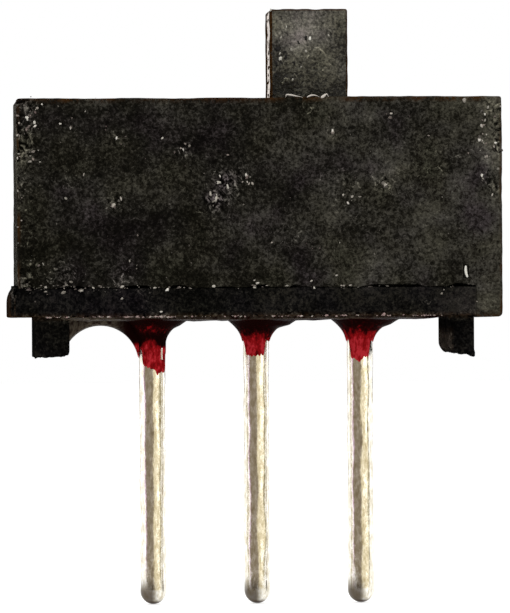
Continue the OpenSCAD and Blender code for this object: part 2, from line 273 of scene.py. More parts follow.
def moulding(outline, z0, z1, edge0, edge1, step):
    """A block carried upwards along its outline: at a level edge * sin a from its end the outline
    is drawn in by edge * (1 - cos a), which rounds the edges, and the ends run to the middle."""
    flat, normals = outline
    turn = np.linspace(0, math.pi / 2, 6)
    rise, fall = 1 - np.cos(turn), 1 - np.sin(turn)
    rings = max(3, round(float(np.ptp(flat, 0).min()) / 2 / step))
    inward = np.linspace(0, 1, rings + 1)[:-1]
    straight = np.linspace(z0 + edge0, z1 - edge1, max(2, round((z1 - z0) / step)) + 1)[1:-1]
    end = np.ones(rings)
    levels = np.concatenate([z0 * end, z0 + edge0 * rise, straight, z1 - edge1 * fall, z1 * end])
    insets = [edge0 * end, edge0 * fall, 0 * straight, edge1 * rise, edge1 * end]
    insets = np.concatenate(insets)[:, None, None]
    shares = np.concatenate([inward, np.ones(len(levels) - 2 * rings), inward[::-1]])
    middle = (flat.min(0) + flat.max(0)) / 2
    spread = middle + (flat - normals * insets - middle) * shares[:, None, None]
    return np.concatenate([spread, levels[:, None, None] + 0 * spread[..., :1]], -1)


def circle(count):
    """Angles that go once round, and their points on a circle of radius 1."""
    angle = np.linspace(0, 2 * math.pi, count, endpoint=False)
    return angle, np.stack([np.cos(angle), np.sin(angle), 0 * angle], -1)


def turned(profile, sectors):
    """A profile of radius and height turned round the Z axis."""
    angle = circle(sectors)[0]
    radius, height = np.asarray(profile)[:, :, None].transpose(1, 0, 2)
    return np.stack([radius * np.cos(angle), radius * np.sin(angle), height + 0 * angle], -1)


def rod(radius, low, high):
    """A plain round rod upright on the Z axis."""
    return turned([(0, low), (radius, low), (radius, high), (0, high)], 48)


def tube(path, radii, sides):
    """A tube along a path: each section is a circle in the plane of two directions square to the
    path, found by crossing its direction with a fixed one. The ends run to a point."""
    along = np.gradient(path, axis=0)
    along /= np.linalg.norm(along, axis=1, keepdims=True)
    first = np.cross(along, [0.2, 0.9, 0.3])
    first /= np.linalg.norm(first, axis=1, keepdims=True)
    second = np.cross(along, first)
    angle = circle(sides)[0][None, :, None]
    section = np.cos(angle) * first[:, None] + np.sin(angle) * second[:, None]
    radii = np.array(radii, float)
    radii[[0, -1]] = 0
    return path[:, None] + radii[:, None, None] * section


def block(low, high, radius=0.0, edge=0.0, step=WHOLE):
    """A plain block's points, for a tool that is joined to a moulding or cut out of it."""
    outline = round_outline(low[:2], high[:2], max(radius, 0.001), step)
    edge = max(edge, 0.001)
    return moulding(outline, low[2], high[2], edge, edge, step)


def link(name, data):
    """A new object in the scene."""
    item = bpy.data.objects.new(name, data)
    bpy.context.scene.collection.objects.link(item)
    return item


def combined(name, points, joined, cut):
    """The mesh of a moulding after some grids of points are joined to it and others cut out."""
    work = link(name, closed_grid(name, points))
    helpers = [work]
    for way, grids in (("UNION", joined), ("DIFFERENCE", cut)):
        for grid in grids:
            helpers.append(link("tool", closed_grid("tool", grid)))
            modifier = work.modifiers.new("shape", "BOOLEAN")
            modifier.operation, modifier.solver = way, "MANIFOLD"
            modifier.object = helpers[-1]
    bpy.context.view_layer.update()
    shaped = work.evaluated_get(bpy.context.evaluated_depsgraph_get())
    result = bpy.data.meshes.new_from_object(shaped)
    result.name = name
    for helper in helpers:
        bpy.data.objects.remove(helper)
    if not len(result.polygons):
        raise RuntimeError(f"{name} came out empty")
    return result


def show(mesh, material, slot, *replaces, body="housing", sharp=34):
    """Puts a mesh into the scene as a piece that rides on a body, smooth but for sharp edges."""
    piece = link(mesh.name, mesh)
    mesh.materials.clear()
    mesh.materials.append(material)
    mesh.polygons.foreach_set("use_smooth", np.ones(len(mesh.polygons), bool))
    mesh.set_sharp_from_angle(angle=math.radians(sharp))
    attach(piece, body)
    if replaces:
        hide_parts(*replaces)


# --- wear and painted light


def places(items, field="co"):
    """The places of a mesh's points, or the middles of its faces, as an array in millimetres."""
    points = np.empty(len(items) * 3, np.float32)
    items.foreach_get(field, points)
    return points.reshape(-1, 3).astype(float) / MM


def store(mesh, name, *channels):
    """Stores up to three values from 0 to 1 per point as a colour that a material reads."""
    colour = np.ones((len(mesh.vertices), 4), np.float32)
    for k, channel in enumerate(channels):
        colour[:, k] = np.clip(channel, 0, 1)
    attribute = mesh.attributes.new(name, "FLOAT_COLOR", "POINT")
    attribute.data.foreach_set("color", colour.ravel())


def patches(points, spots):
    """Sum of bell curves on the front, each with its X, Z, radius and strength."""
    x, z, radius, strength = np.array(spots).T
    far = np.hypot(points[:, 0, None] - x, points[:, 2, None] - z)
    return (points[:, 1] < -0.9) * (strength * bell(far, radius)).sum(-1)


# --- materials


def add(tree, kind, inputs=None, stops=None, **properties):
    """Adds a shader node, whose kind is given without its prefix: inputs give its sockets a value,
    a hex colour or another node, whose first live output is linked, stops fill a colour ramp, and
    the rest are the node's own properties."""
    node = tree.nodes.new("ShaderNode" + kind)
    for name, value in properties.items():
        setattr(node, name, value)
    for key, value in (inputs or {}).items():
        socket = node.inputs[key]
        if isinstance(value, bpy.types.Node):
            value = next(output for output in value.outputs if output.enabled)
        if isinstance(value, bpy.types.NodeSocket):
            tree.links.new(value, socket)
        else:
            socket.default_value = linear(value) if isinstance(value, str) else value
    if stops:
        elements = node.color_ramp.elements
        while len(elements) < len(stops):
            elements.new(0.5)
        for element, (position, colour) in zip(elements, stops):
            element.position = position
            element.color = linear(colour) if isinstance(colour, str) else colour
    return node


def emptied(data):
    """The function that adds a node to a material or world, whose own nodes are cleared."""
    data.use_nodes = True
    data.node_tree.nodes.clear()
    return partial(add, data.node_tree)


def black_moulding(name, dark, pale, rubbed, shine, gloss, relief, haze_and_light_share):
    """Glass-filled thermoplastic out of a matt mould. The eye sees a nearly black skin with a low,
    leathery relief, paler where it is scuffed and brown where an edge is rubbed."""
    material = bpy.data.materials.new(name)
    node = emptied(material)
    place = node("TexCoord").outputs["Object"]
    wear_and_light = node("SeparateColor", {"Color": node("Attribute", attribute_name="wear_and_light")}).outputs
    polish = node("Attribute", attribute_name="polish").outputs["Fac"]
    # Leathery grain 0.07 mm wide; torn fragments of 0.14 mm, which show only where the skin is
    # scuffed; cloudy patches of 0.8 mm, left by the mould and by handling; colour casts of 1.2 mm
    noises = []
    for size, detail, rough, twist in (
        (0.07, 2, 0.7, 0.5),
        (0.14, 3, 0.6, 1.2),
        (0.8, 5, 0.65, 0),
        (1.2, 2, 0.5, 0),
    ):
        inputs = {"Vector": place, "Scale": 1 / (size * MM), "Detail": detail}
        noises.append(node("TexNoise", {**inputs, "Roughness": rough, "Distortion": twist}))
    grain, stroke, cloud, cast = noises
    # The attribute's third channel pales the skin: haze, and painted light where a piece lays it on
    level = -0.25
    for value, share in ((grain, 0.85), (cloud, 0.6), (wear_and_light["Blue"], haze_and_light_share)):
        level = node("Math", {0: value, 1: share, 2: level}, operation="MULTIPLY_ADD")
    stops = [(0.36, shade(dark, 0.35)), (0.5, dark), (0.72, shade(pale, 0.35)), (1.0, pale)]
    colour = node("ValToRGB", {"Fac": level}, stops)
    # A scuff shows where the strokes rise above a threshold that falls as the wear grows
    start = node("Math", {0: wear_and_light["Red"], 1: -0.28, 2: 0.75}, operation="MULTIPLY_ADD")
    end = node("Math", {0: start, 1: 0.14}, operation="ADD")
    inputs = {"Value": stroke, "From Min": start, "From Max": end, "To Max": 0.9}
    scuff = node("MapRange", inputs)
    stops = [(0.36, shade(pale, 0.4)), (0.53, pale), (0.67, shade(pale, 1.9))]
    torn = node("ValToRGB", {"Fac": grain}, stops)
    colour = node("Mix", {0: scuff, 6: colour, 7: torn}, data_type="RGBA")
    # Black pits lie between the fragments, and rubbed edges are broken up by them
    for start, end, share, tone in (
        (0.46, 0.38, wear_and_light["Red"], shade(dark, 0.12)),
        (0.38, 0.55, wear_and_light["Green"], rubbed),
    ):
        part = node("MapRange", {"Value": stroke, "From Min": start, "From Max": end})
        part = node("Math", {0: part, 1: share}, operation="MULTIPLY")
        colour = node("Mix", {0: part, 6: colour, 7: tone}, data_type="RGBA")
    # Faint plum and olive casts
    stops = [(0.32, "#ece2f4"), (0.45, "#ffffff"), (0.6, "#fdfdf0"), (0.72, "#f2f5e4")]
    cast = node("ValToRGB", {"Fac": cast}, stops)
    colour = node("Mix", {0: 1.0, 6: colour, 7: cast}, data_type="RGBA", blend_type="MULTIPLY")
    inputs = {"Value": cloud, "From Min": 0.3, "From Max": 0.7}
    rough = node("MapRange", {**inputs, "To Min": shine - 0.06, "To Max": shine + 0.12})
    rough = node("Math", {0: scuff, 1: 0.2, 2: rough}, operation="MULTIPLY_ADD")
    rough = node("Math", {0: polish, 1: -0.4, 2: rough}, operation="MULTIPLY_ADD", use_clamp=True)
    height = node("Math", {0: scuff, 1: 0.35, 2: grain}, operation="MULTIPLY_ADD")
    height = node("Math", {0: cloud, 1: 1.2, 2: height}, operation="MULTIPLY_ADD")
    strength = node("Math", {0: polish, 1: -0.9, 2: 1.0}, operation="MULTIPLY_ADD")
    bump = node("Bump", {"Strength": strength, "Distance": relief * MM, "Height": height})
    inputs = {"Base Color": colour, "Roughness": rough, "Normal": bump}
    inputs |= {"IOR": 1.5, "Specular IOR Level": gloss}
    node("OutputMaterial", {"Surface": node("BsdfPrincipled", inputs)})
    return material


def tinned_brass(tin):
    """Brass wire, hot-tinned: a soft warm mirror, grained along the wire, with painted shade that
    turns the tip's left half and lowest part brown."""
    material = bpy.data.materials.new("hot-tinned brass")
    node = emptied(material)
    worn = node("Attribute", attribute_name="wear_and_light").outputs["Fac"]
    place = node("TexCoord").outputs["Object"]
    place = node("Mapping", {"Vector": place, "Scale": (1.0, 1.0, 0.4)})
    # Streaks 0.05 mm wide and 0.12 mm long, and blotches 0.1 mm wide
    inputs = {"Vector": place, "Scale": 1 / (0.05 * MM), "Detail": 3, "Roughness": 0.6}
    streak = node("TexNoise", inputs)
    inputs = {"Vector": place, "Scale": 1 / (0.1 * MM), "Detail": 4, "Roughness": 0.7}
    blotch = node("TexNoise", inputs)
    colour = node("ValToRGB", {"Fac": blotch}, [(0.34, "#c6bda8"), (0.5, tin), (0.64, "#faf8f4")])
    # Painted shade: the piece's attribute mixes the tip towards brown
    colour = node("Mix", {0: worn, 6: colour, 7: "#33230f"}, data_type="RGBA")
    inputs = {"Value": streak, "From Min": 0.3, "From Max": 0.7, "To Min": 0.09, "To Max": 0.22}
    rough = node("MapRange", inputs)
    height = node("Math", {0: blotch, 1: 0.9, 2: streak}, operation="MULTIPLY_ADD")
    bump = node("Bump", {"Strength": 1.0, "Distance": 0.0024 * MM, "Height": height})
    inputs = {"Base Color": colour, "Metallic": 1.0, "Roughness": rough, "Normal": bump}
    node("OutputMaterial", {"Surface": node("BsdfPrincipled", inputs)})
    return material


def cast_resin(thin, deep):
    """Cured epoxy, dyed red: red where it is thin on the terminal and black where it is thick under
    the base. The piece's own attribute says how thick and how dusty it is."""
    material = bpy.data.materials.new("cast red epoxy")
    node = emptied(material)
    place = node("TexCoord").outputs["Object"]
    thick = node("Attribute", attribute_name="thickness")
    thick = node("SeparateColor", {"Color": thick}).outputs
    # Swirls of 0.1 mm, drawn out downwards
    place = node("Mapping", {"Vector": place, "Scale": (1.0, 1.0, 0.5)})
    inputs = {"Vector": place, "Scale": 1 / (0.1 * MM), "Detail": 3, "Roughness": 0.65}
    swirl = node("TexNoise", inputs)
    level = node("Math", {0: swirl, 1: 1.5, 2: thick["Red"]}, operation="MULTIPLY_ADD")
    level = node("Math", {0: level, 1: -0.49}, operation="ADD")
    stops = [(0.2, "#d8343d"), (0.4, thin), (0.75, "#360708"), (1.0, deep)]
    colour = node("ValToRGB", {"Fac": level}, stops)
    # Dust sticks to the dried web in patches
    dry = node("MapRange", {"Value": swirl, "From Min": 0.35, "From Max": 0.6})
    dry = node("Math", {0: dry, 1: thick["Green"]}, operation="MULTIPLY")
    colour = node("Mix", {0: dry, 6: colour, 7: "#5a5145"}, data_type="RGBA")
    bump = node("Bump", {"Strength": 1.0, "Distance": 0.02 * MM, "Height": swirl})
    inputs = {"Base Color": colour, "Roughness": 0.3, "Normal": bump}
    inputs |= {"IOR": 1.55, "Specular IOR Level": 0.001}
    node("OutputMaterial", {"Surface": node("BsdfPrincipled", inputs)})
    return material


def bare_metal(name, colour, roughness, line):
    """A metal with fine drawn or ground lines, seen as a faint change of shine and tone."""
    material = bpy.data.materials.new(name)
    node = emptied(material)
    place = node("TexCoord").outputs["Object"]
    lines = node("TexNoise", {"Vector": place, "Scale": 1 / (line * MM), "Detail": 2})
    inputs = {"Value": lines, "From Min": 0.3, "From Max": 0.7}
    rough = node("MapRange", {**inputs, "To Min": roughness * 0.7, "To Max": roughness * 1.4})
    tone = node("ValToRGB", {"Fac": lines}, [(0.3, shade(colour, 0.8)), (0.7, colour)])
    inputs = {"Base Color": tone, "Metallic": 1.0, "Roughness": rough}
    node("OutputMaterial", {"Surface": node("BsdfPrincipled", inputs)})
    return material


def dust_and_glints(dust):
    """Dust and torn plastic: pale, dry and rough, from grey to pinkish white, fleck by fleck. The
    pale flecks also carry painted highlights, where they stand for glints.
    """
    material = bpy.data.materials.new("dust, torn plastic and painted glints")
    node = emptied(material)
    tone = node("SeparateColor", {"Color": node("Attribute", attribute_name="tone")}).outputs
    stops = [(0.0, "#0a0807"), (0.35, "#6a665c"), (0.7, "#a9a498"), (1.0, dust)]
    colour = node("ValToRGB", {"Fac": tone["Red"]}, stops)
    colour = node("Mix", {0: tone["Green"], 6: colour, 7: "#a98c88"}, data_type="RGBA")
    place = node("TexCoord").outputs["Object"]
    # Crumbs of 0.03 mm
    crumb = node("TexNoise", {"Vector": place, "Scale": 1 / (0.03 * MM)})
    bump = node("Bump", {"Strength": 1.0, "Distance": 0.01 * MM, "Height": crumb})
    inputs = {"Base Color": colour, "Roughness": 0.75, "Specular IOR Level": 0.3, "Normal": bump}
    node("OutputMaterial", {"Surface": node("BsdfPrincipled", inputs)})
    return material


# --- pieces


def from_edge(points, high, middle=0.0):
    """Distance of each point from the nearest edge of a box, given by its high corner and middle:
    the second smallest of its distances from the end, the side and the top."""
    gaps = np.abs(high - np.abs(points - (middle, 0, 0)))
    return np.sort(gaps, -1)[:, 1]


class MakeCover(bpy.types.Operator):
    """Makes the cover: a moulded box, open below, with the stem's slot and the slit end wall"""

    bl_idname = "switch.make_cover"
    bl_label = "Cover"

    # Scuffs and hazy patches on the front: X and Z of the middle, radius and strength
    SCUFFS = (
        (-0.75, 4.25, 0.5, 0.75), (-1.15, 3.75, 0.3, 0.55), (-0.95, 3.1, 0.35, 0.4),
        (-1.85, 5.0, 0.22, 0.7), (-3.5, 3.75, 0.32, 0.65), (-3.45, 5.3, 0.25, 0.5),
        (-4.75, 2.0, 0.5, 0.6), (-3.4, 2.0, 0.45, 0.5), (-4.6, 4.3, 0.5, 0.35),
        (1.75, 5.4, 0.2, 0.5), (1.9, 4.2, 0.8, 0.4), (3.0, 4.2, 0.3, 0.6),
        (4.0, 4.7, 0.9, 0.35), (0.7, 3.0, 0.6, 0.35), (4.2, 1.9, 0.4, 0.35),
        (1.2, 6.1, 0.4, 0.5),
    )
    HAZE = (
        (4.1, 4.2, 1.3, 0.16), (2.0, 4.3, 0.7, 0.14), (0.8, 4.6, 0.8, 0.12),
        (3.3, 5.9, 1.2, 0.1), (-3.3, 5.6, 0.9, 0.06),
    )

    def execute(self, context):
        sizes, colours = settings(context)
        seam = UNDER + sizes.flange
        inner = COVER_HIGH - (sizes.end_wall, sizes.side_wall, sizes.roof)
        left, front, bottom = COVER_LOW - PAST
        cavity = block((-inner[0], -inner[1], bottom), inner, 0.05)
        x, y = STEM_X + sizes.stem_width / 2 + 0.05, sizes.stem_depth / 2 + 0.03
        slot = block((-x, -y, inner[2] - PAST), (x, y, COVER_HIGH[2] + PAST), 0.06)
        slit, end = inner[0] - 0.006, BASE_HIGH[0] + 0.006
        below = self.ragged(block((left, front, bottom), (end, -front, seam), step=0.12))
        slits = block((slit, front, seam - PAST), (inner[0], -front, seam + 0.62))
        # The pocket of the nib
        x, y, z = inner[0] - 0.26, COVER_LOW[1] + 0.12, seam + 0.36
        pocket = block((x - 0.075, front, z - 0.17), (x + 0.075, y, z + 0.17), 0.02, 0.03)
        cuts = [cavity, slot, below, slits, pocket]
        mesh = combined("cover_moulding", self.shell(sizes), [], cuts)
        self.wear_and_light(mesh, seam)
        tones = colours.plastic, colours.plastic_pale, colours.rubbed
        material = black_moulding("matt moulded thermoplastic", *tones, 0.6, 0.001, 0.03, 0.25)
        show(mesh, material, "cover_plastic", "cover")
        return {"FINISHED"}

    def shell(self, sizes):
        """The cover's outside: a moulding with shallow waves of 1.8 mm and 0.35 mm, whose lower
        right edge is lifted by the height of a quarter circle over it. The leg at the right end is
        a little longer than the base is deep, and the roof rises by 0.026 mm to the right."""
        outline = round_outline(COVER_LOW[:2], COVER_HIGH[:2], sizes.upright, sizes.step)
        points = moulding(outline, UNDER - 0.05, COVER_HIGH[2], 0.03, sizes.top_edge, sizes.step)
        depth = 0.004 * (1.2 + ripple(points, 1.8, 3)) + 0.0025 * (1 + ripple(points, 0.35, 4))
        points = dented(points, np.maximum(depth, 0))
        radius, height = 0.13, 0.5
        past = np.clip(points[..., 0] - (COVER_HIGH[0] - radius), 0, radius)
        lift = radius - np.sqrt(radius**2 - past**2)
        points[..., 2] += lift * np.clip(1 - (points[..., 2] - UNDER) / height, 0, 1)
        points[..., 2] += 0.026 * smooth(points[..., 0], -0.5, 2.8) * (points[..., 2] > 6)
        return points

    def ragged(self, tool):
        """The tool that trims the cover at the seam, its top raised by up to 0.06 mm in waves of
        0.9 mm and by some 0.012 mm in waves of 0.25 mm, so that the seam opens and closes."""
        raised = 0.06 * smooth(ripple(tool, 0.9, 6), 0.45, 1.1)
        raised += 0.012 * np.maximum(ripple(tool, 0.25, 7), 0)
        tool[..., 2] += raised * (tool[..., 2] > tool[..., 2].max() - 0.01)
        return tool

    def wear_and_light(self, mesh, seam):
        """Scuffs at listed spots on the front, in seeded clouds elsewhere and over the last 0.5 mm
        at both ends; rubbed edges; and painted sheen, which pales the front towards the right and
        at the ends."""
        points = places(mesh.vertices)
        x, y, z = points.T
        scuff = 1.25 * patches(points, self.SCUFFS) + 0.12
        scuff += 0.42 * smooth(ripple(points, 2.2, 21), 0.5, 1.6) * (y > -1.9)
        high = smooth(z, 3.6, 4.6)
        ends = smooth(np.abs(x), COVER_HIGH[0] - 0.62, COVER_HIGH[0] - 0.35)
        side = np.where(x < 0, 0.6 + 0.35 * high, 0.2 + 0.7 * high)
        scuff += ends * side * (0.75 + 0.25 * ripple(points, 0.9, 22))
        edge = from_edge(points, COVER_HIGH)
        rub = smooth(edge, 0.11, 0.03) * (0.6 + 0.4 * ripple(points, 0.6, 23))
        rub = np.maximum(rub, 0.7 * smooth(z, UNDER + 0.12, UNDER + 0.02))
        # Painted sheen: the front pales towards the right and at the ends, and the listed patches
        # pale it further
        haze_and_light = 0.36 * smooth(x, -3, 5) + patches(points, self.HAZE)
        haze_and_light += ends * ((x > 0) * (0.1 + 0.4 * high) + (x < 0) * 0.08 * high)
        haze_and_light += 0.1 * (x > 0) * smooth(z, seam + 0.5, seam - 0.1) * ends
        store(mesh, "wear_and_light", scuff, rub, haze_and_light)


class MakeBase(bpy.types.Operator):
    """Makes the base: flange, plug, two feet and the lip at the left end, with the holes"""

    bl_idname = "switch.make_base"
    bl_label = "Base"

    def execute(self, context):
        sizes, colours = settings(context)
        seam, edge = UNDER + sizes.flange, sizes.soft_edge
        right, depth, top = BASE_HIGH
        low, radii = (COVER_LOW[0] - 0.1, -depth), (0.01, 0.01, edge, edge)
        outline = round_outline(low, (right, depth), radii, sizes.step)
        flange = moulding(outline, UNDER, seam, edge, edge, sizes.step)
        flange = dented(flange, 0.004 * np.maximum(1 + ripple(flange, 0.45, 5), 0))
        y = COVER_HIGH[1] - sizes.side_wall - 0.02
        plug = block((-right, -y, seam - 0.3), (right, y, top), 0.1, 0.02)
        joined = [plug, self.lip(sizes), self.foot(sizes, -1), self.foot(sizes, 1)]
        holes = [self.hole(sizes, x) for x in (-PITCH, 0, PITCH)]
        mesh = combined("base_moulding", flange, joined, holes)
        self.wear_and_light(mesh)
        tones = colours.base, colours.base_pale, colours.rubbed
        material = black_moulding("glossier moulded thermoplastic", *tones, 0.6, 0.0, 0.02, 0.25)
        show(mesh, material, "base_plastic", "base")
        return {"FINISHED"}

    def lip(self, sizes):
        """The lip: its section in X and Z goes straight up and then round towards the cover on a
        circle of 0.55 mm, and is carried from front to back with its ends rounded."""
        wall, outer, radius, straight = COVER_LOW[0] - 0.004, BASE_LOW[0], 0.55, UNDER + 0.38
        last = math.acos((outer + radius - wall) / radius)
        turn = np.linspace(math.pi, math.pi - last, 9)
        arc = np.stack([outer + radius * (1 + np.cos(turn)), straight + radius * np.sin(turn)], -1)
        side = [(outer, z) for z in np.linspace(UNDER + 0.03, straight, 5)[:-1]]
        section = np.concatenate([[(wall, UNDER), (outer + 0.03, UNDER)], side, arc])
        along = np.roll(section, -1, 0) - np.roll(section, 1, 0)
        normals = np.stack([-along[:, 1], along[:, 0]], -1)
        normals /= np.linalg.norm(normals, axis=1, keepdims=True)
        depth, end = BASE_HIGH[1], 0.06
        carried = moulding((section, normals), -depth, depth, end, end, sizes.step)[..., [0, 2, 1]]
        dents = 0.005 * (1 + ripple(carried, 0.3, 8))
        carried[..., 0] += dents * smooth(carried[..., 2], UNDER, UNDER + 0.8)
        return carried

    def foot(self, sizes, side):
        """A foot: a block with its inner upright edges rounded. Each point is lifted, in share to
        how low it lies, by a quarter circle at the inner side, a slope and a ragged worn
        unevenness, and the right one has a burr, a hump 0.1 mm wide."""
        right, bend, slope = side > 0, sizes.foot_round, 0.06
        outer = COVER_HIGH[0] - sizes.foot_inset
        inner, far = outer - sizes.foot_width, min(outer, BASE_HIGH[0])
        if not right:
            bend, slope, far = 0.45 * bend, 0.03, outer
        low, high = sorted((side * inner, side * far))
        radii = np.roll((0.04, 0.04, bend, bend), 0 if right else 2)
        half, top = sizes.foot_depth / 2, UNDER + 0.3
        outline = round_outline((low, -half), (high, half), radii, 0.06)
        points = moulding(outline, 0, top, 0.03, 0.03, 0.08)
        inside = side * points[..., 0] - inner
        short = np.clip(bend - inside, 0, bend)
        lift = bend - np.sqrt(bend**2 - short**2)
        lift += 0.03 + 0.014 * (1 + ripple(points * (1, 1, 0), 0.25, 20 + side))
        lift += slope * smooth(inside, sizes.foot_width, 0)
        if right:
            # A burr at the outer lower corner
            near = np.hypot(points[..., 0] - far + 0.03, points[..., 1] + half)
            burr = smooth(near, 0.15, 0.09)
            lift -= 0.06 * burr
            points[..., 0] += 0.035 * burr * bell(points[..., 2] - 0.07, 0.05)
        points[..., 2] += lift * (1 - points[..., 2] / top)
        return points

    def hole(self, sizes, x):
        """A terminal's stepped hole, turned: the resin well, the shank's bore and the head's
        seat."""
        bore, seat, well = sizes.shank / 2 + 0.02, 0.67, 0.75
        step_up, head = UNDER + 0.25, corners("terminal_common")[1][2] - 0.2
        low, high = UNDER - PAST, head + PAST
        profile = [(0, low), (well, low), (well, step_up), (bore, step_up)]
        profile += [(bore, head), (seat, head), (seat, high), (0, high)]
        return turned(profile, 48) + (x, 0, 0)

    def wear_and_light(self, mesh):
        """Scuffs along the lower front edge, on the lip and on the round inner end of the right
        foot, rubbed lower edges, a pale band over the top of the feet, and a paling towards the
        right; as the base has no gloss, the pale lower front edge, the foot's round inner end and
        the paling towards the right are painted highlights as well."""
        points = places(mesh.vertices)
        x, _, z = points.T
        above, worn = z > 0.9, smooth(z, 0.68, 0.88) * (z < 0.97)
        low = smooth(z, UNDER + 0.07, UNDER + 0.02) * (z > 0.95)
        lip = smooth(x, COVER_LOW[0] + 0.05, COVER_LOW[0] - 0.05)
        inner = smooth(x, 4.72, 4.66) * (x > 4) * smooth(z, 0.8, 0.5)
        # The pale lower front edge is a scuff and partly a painted highlight
        scuff = 1.1 * low + 0.45 * lip + 0.4 * smooth(ripple(points, 1.3, 24), 0.4, 1.5) + 0.2
        scuff = scuff * above + 1.1 * inner + 0.4 * worn
        rub = 0.6 * low + 0.5 * lip * smooth(x, BASE_LOW[0] + 0.06, BASE_LOW[0]) + 0.3 * inner
        # Painted highlight: paler towards the right, at the right end and on the foot's round inner
        # end, as the base has no gloss
        haze_and_light = 0.1 + 0.3 * smooth(x, -2, 6) + 0.3 * smooth(x, 4.1, 4.8)
        store(mesh, "wear_and_light", scuff, rub, haze_and_light * above + 0.2 * worn + inner)


class MakeSlider(bpy.types.Operator):
    """Makes the slider: the worn square stem and the carriage under the cover's roof"""

    bl_idname = "switch.make_slider"
    bl_label = "Slider"

    # The stem's high corner, as seen from its own middle
    STEM_HIGH = (0.94, 1.0, SLIDER_HIGH[2])
    # Scuffs and tones on the front: X and Z of the middle, radius and strength
    SCUFFS = ((0.9, 7.3, 0.4, 0.4), (0.75, 6.75, 0.3, 0.4), (1.0, 8.1, 0.4, 0.2))
    HAZE = (
        (0.95, 7.8, 0.35, 0.45), (1.1, 7.45, 0.2, 0.3), (1.85, 7.4, 0.5, -0.2),
        (0.5, 7.3, 0.2, -0.4), (0.6, 6.8, 0.35, -0.3),
    )
    # Arcs round the ejector pin's mark: radius, and start and end in degrees
    RINGS = ((0.31, 25, 85), (0.16, -75, 15), (0.34, -85, -35), (0.16, 120, 170))
    # Pale specks, black pits and, last, a burr on the top left corner: X, Z, size and tone
    SPECKS = (
        (1.29, 7.73, 0.045, 1.0), (0.72, 8.02, 0.03, 0.75), (0.59, 7.76, 0.035, 0.6),
        (1.75, 7.8, 0.03, 0.6), (0.56, 7.37, 0.035, 0.7), (0.58, 7.25, 0.045, 0.8),
        (1.2, 7.42, 0.035, 0.6), (0.87, 6.73, 0.03, 0.6), (0.84, 7.46, 0.04, 0.5),
        (1.07, 7.04, 0.025, 0.5), (1.95, 7.95, 0.02, 0.1), (1.19, 7.75, 0.06, 0.0),
        (0.5, 7.46, 0.07, 0.0), (0.7, 7.28, 0.06, 0.0), (0.68, 7.4, 0.04, 0.0),
        (0.9, 7.12, 0.05, 0.0), (0.48, 7.12, 0.05, 0.0), (0.62, 7.13, 0.035, 0.0),
        (1.02, 7.63, 0.04, 0.0), (0.45, 6.85, 0.05, 0.0), (0.345, 8.41, 0.035, 0.7),
    )

    def execute(self, context):
        sizes, colours = settings(context)
        x, y, fine = sizes.stem_width / 2, sizes.stem_depth / 2, 0.03
        roof = COVER_HIGH[2] - sizes.roof - 0.03
        outline = round_outline((STEM_X - x, -y), (STEM_X + x, y), 0.06, fine)
        stem = self.handled(moulding(outline, roof - PAST, SLIDER_HIGH[2], 0.02, 0.06, fine))
        low, high = SLIDER_LOW, np.array([*SLIDER_HIGH[:2], roof])
        carriage = block(low, high, 0.15, 0.075, 0.4)
        bridge_low, bridge_high = corners("contact_bridge")
        spring_low, spring_high = corners("contact_spring")
        ball_low, ball_high = corners("detent_ball_front")
        bridge_low[2], bridge_high[2] = low[2] - PAST, low[2] + 0.7
        pocket = block(bridge_low - (0.04, 0.04, 0), bridge_high + (0.04, 0.04, 0), 0.24)
        upright = rod((spring_high[0] - spring_low[0]) / 2 + 0.05, low[2], spring_high[2])
        end = high[1] + PAST
        cross = rod((ball_high[2] - ball_low[2]) / 2 + 0.03, -end, end)[..., [0, 2, 1]]
        cross = cross + (STEM_X, 0, (ball_low[2] + ball_high[2]) / 2)
        cuts = [pocket, upright + (STEM_X, 0, 0), cross]
        mesh = combined("slider_moulding", stem, [carriage], cuts)
        self.wear_and_light(mesh)
        tones = colours.stem, colours.stem_pale, colours.rubbed
        material = black_moulding("handled moulded thermoplastic", *tones, 0.35, 0.15, 0.03, 0.35)
        show(mesh, material, "slider_plastic", "slider", body="slide")
        # The second material is painted shade: dull dark brown on the stem's edges and round the
        # polished strip of its flanks
        tones = colours.rubbed, colours.shaded_edge_pale, colours.rubbed
        mesh.materials.append(black_moulding("dull shaded edge", *tones, 0.7, 0.0, 0.02, 0.0))
        self.shaded_edges(mesh)
        specks = chosen(self.SPECKS, -0.996, (0.8, 0.22, 1.0), 0)
        show_flecks("stem_specks", [specks], 27, dust_and_glints(colours.dust), "slide")
        return {"FINISHED"}

    def handled(self, points):
        """Wear on the stem: shallow waves all over, pits on the front's left half, and the round
        mark of an ejector pin, 0.24 mm in radius, sunk 0.014 mm but for a ring of 0.13 mm."""
        face = smooth(-points[..., 1], 0.9, 0.99)
        x, z = points[..., 0] - STEM_X, points[..., 2] - COVER_HIGH[2]
        mark = np.hypot(x - 0.07, z - 0.92)
        sunk = 0.014 * smooth(mark, 0.27, 0.22) - 0.01 * smooth(np.abs(mark - 0.13), 0.05, 0.02)
        pits = 0.03 * smooth(x, 0, -0.6) * smooth(np.abs(z - 0.95), 0.6, 0.2)
        pits *= smooth(ripple(points, 0.17, 14), 0.2, 1.3)
        points = dented(points, 0.004 * np.maximum(1 + ripple(points, 0.4, 15), 0))
        points[..., 1] += face * (sunk + pits)
        return points

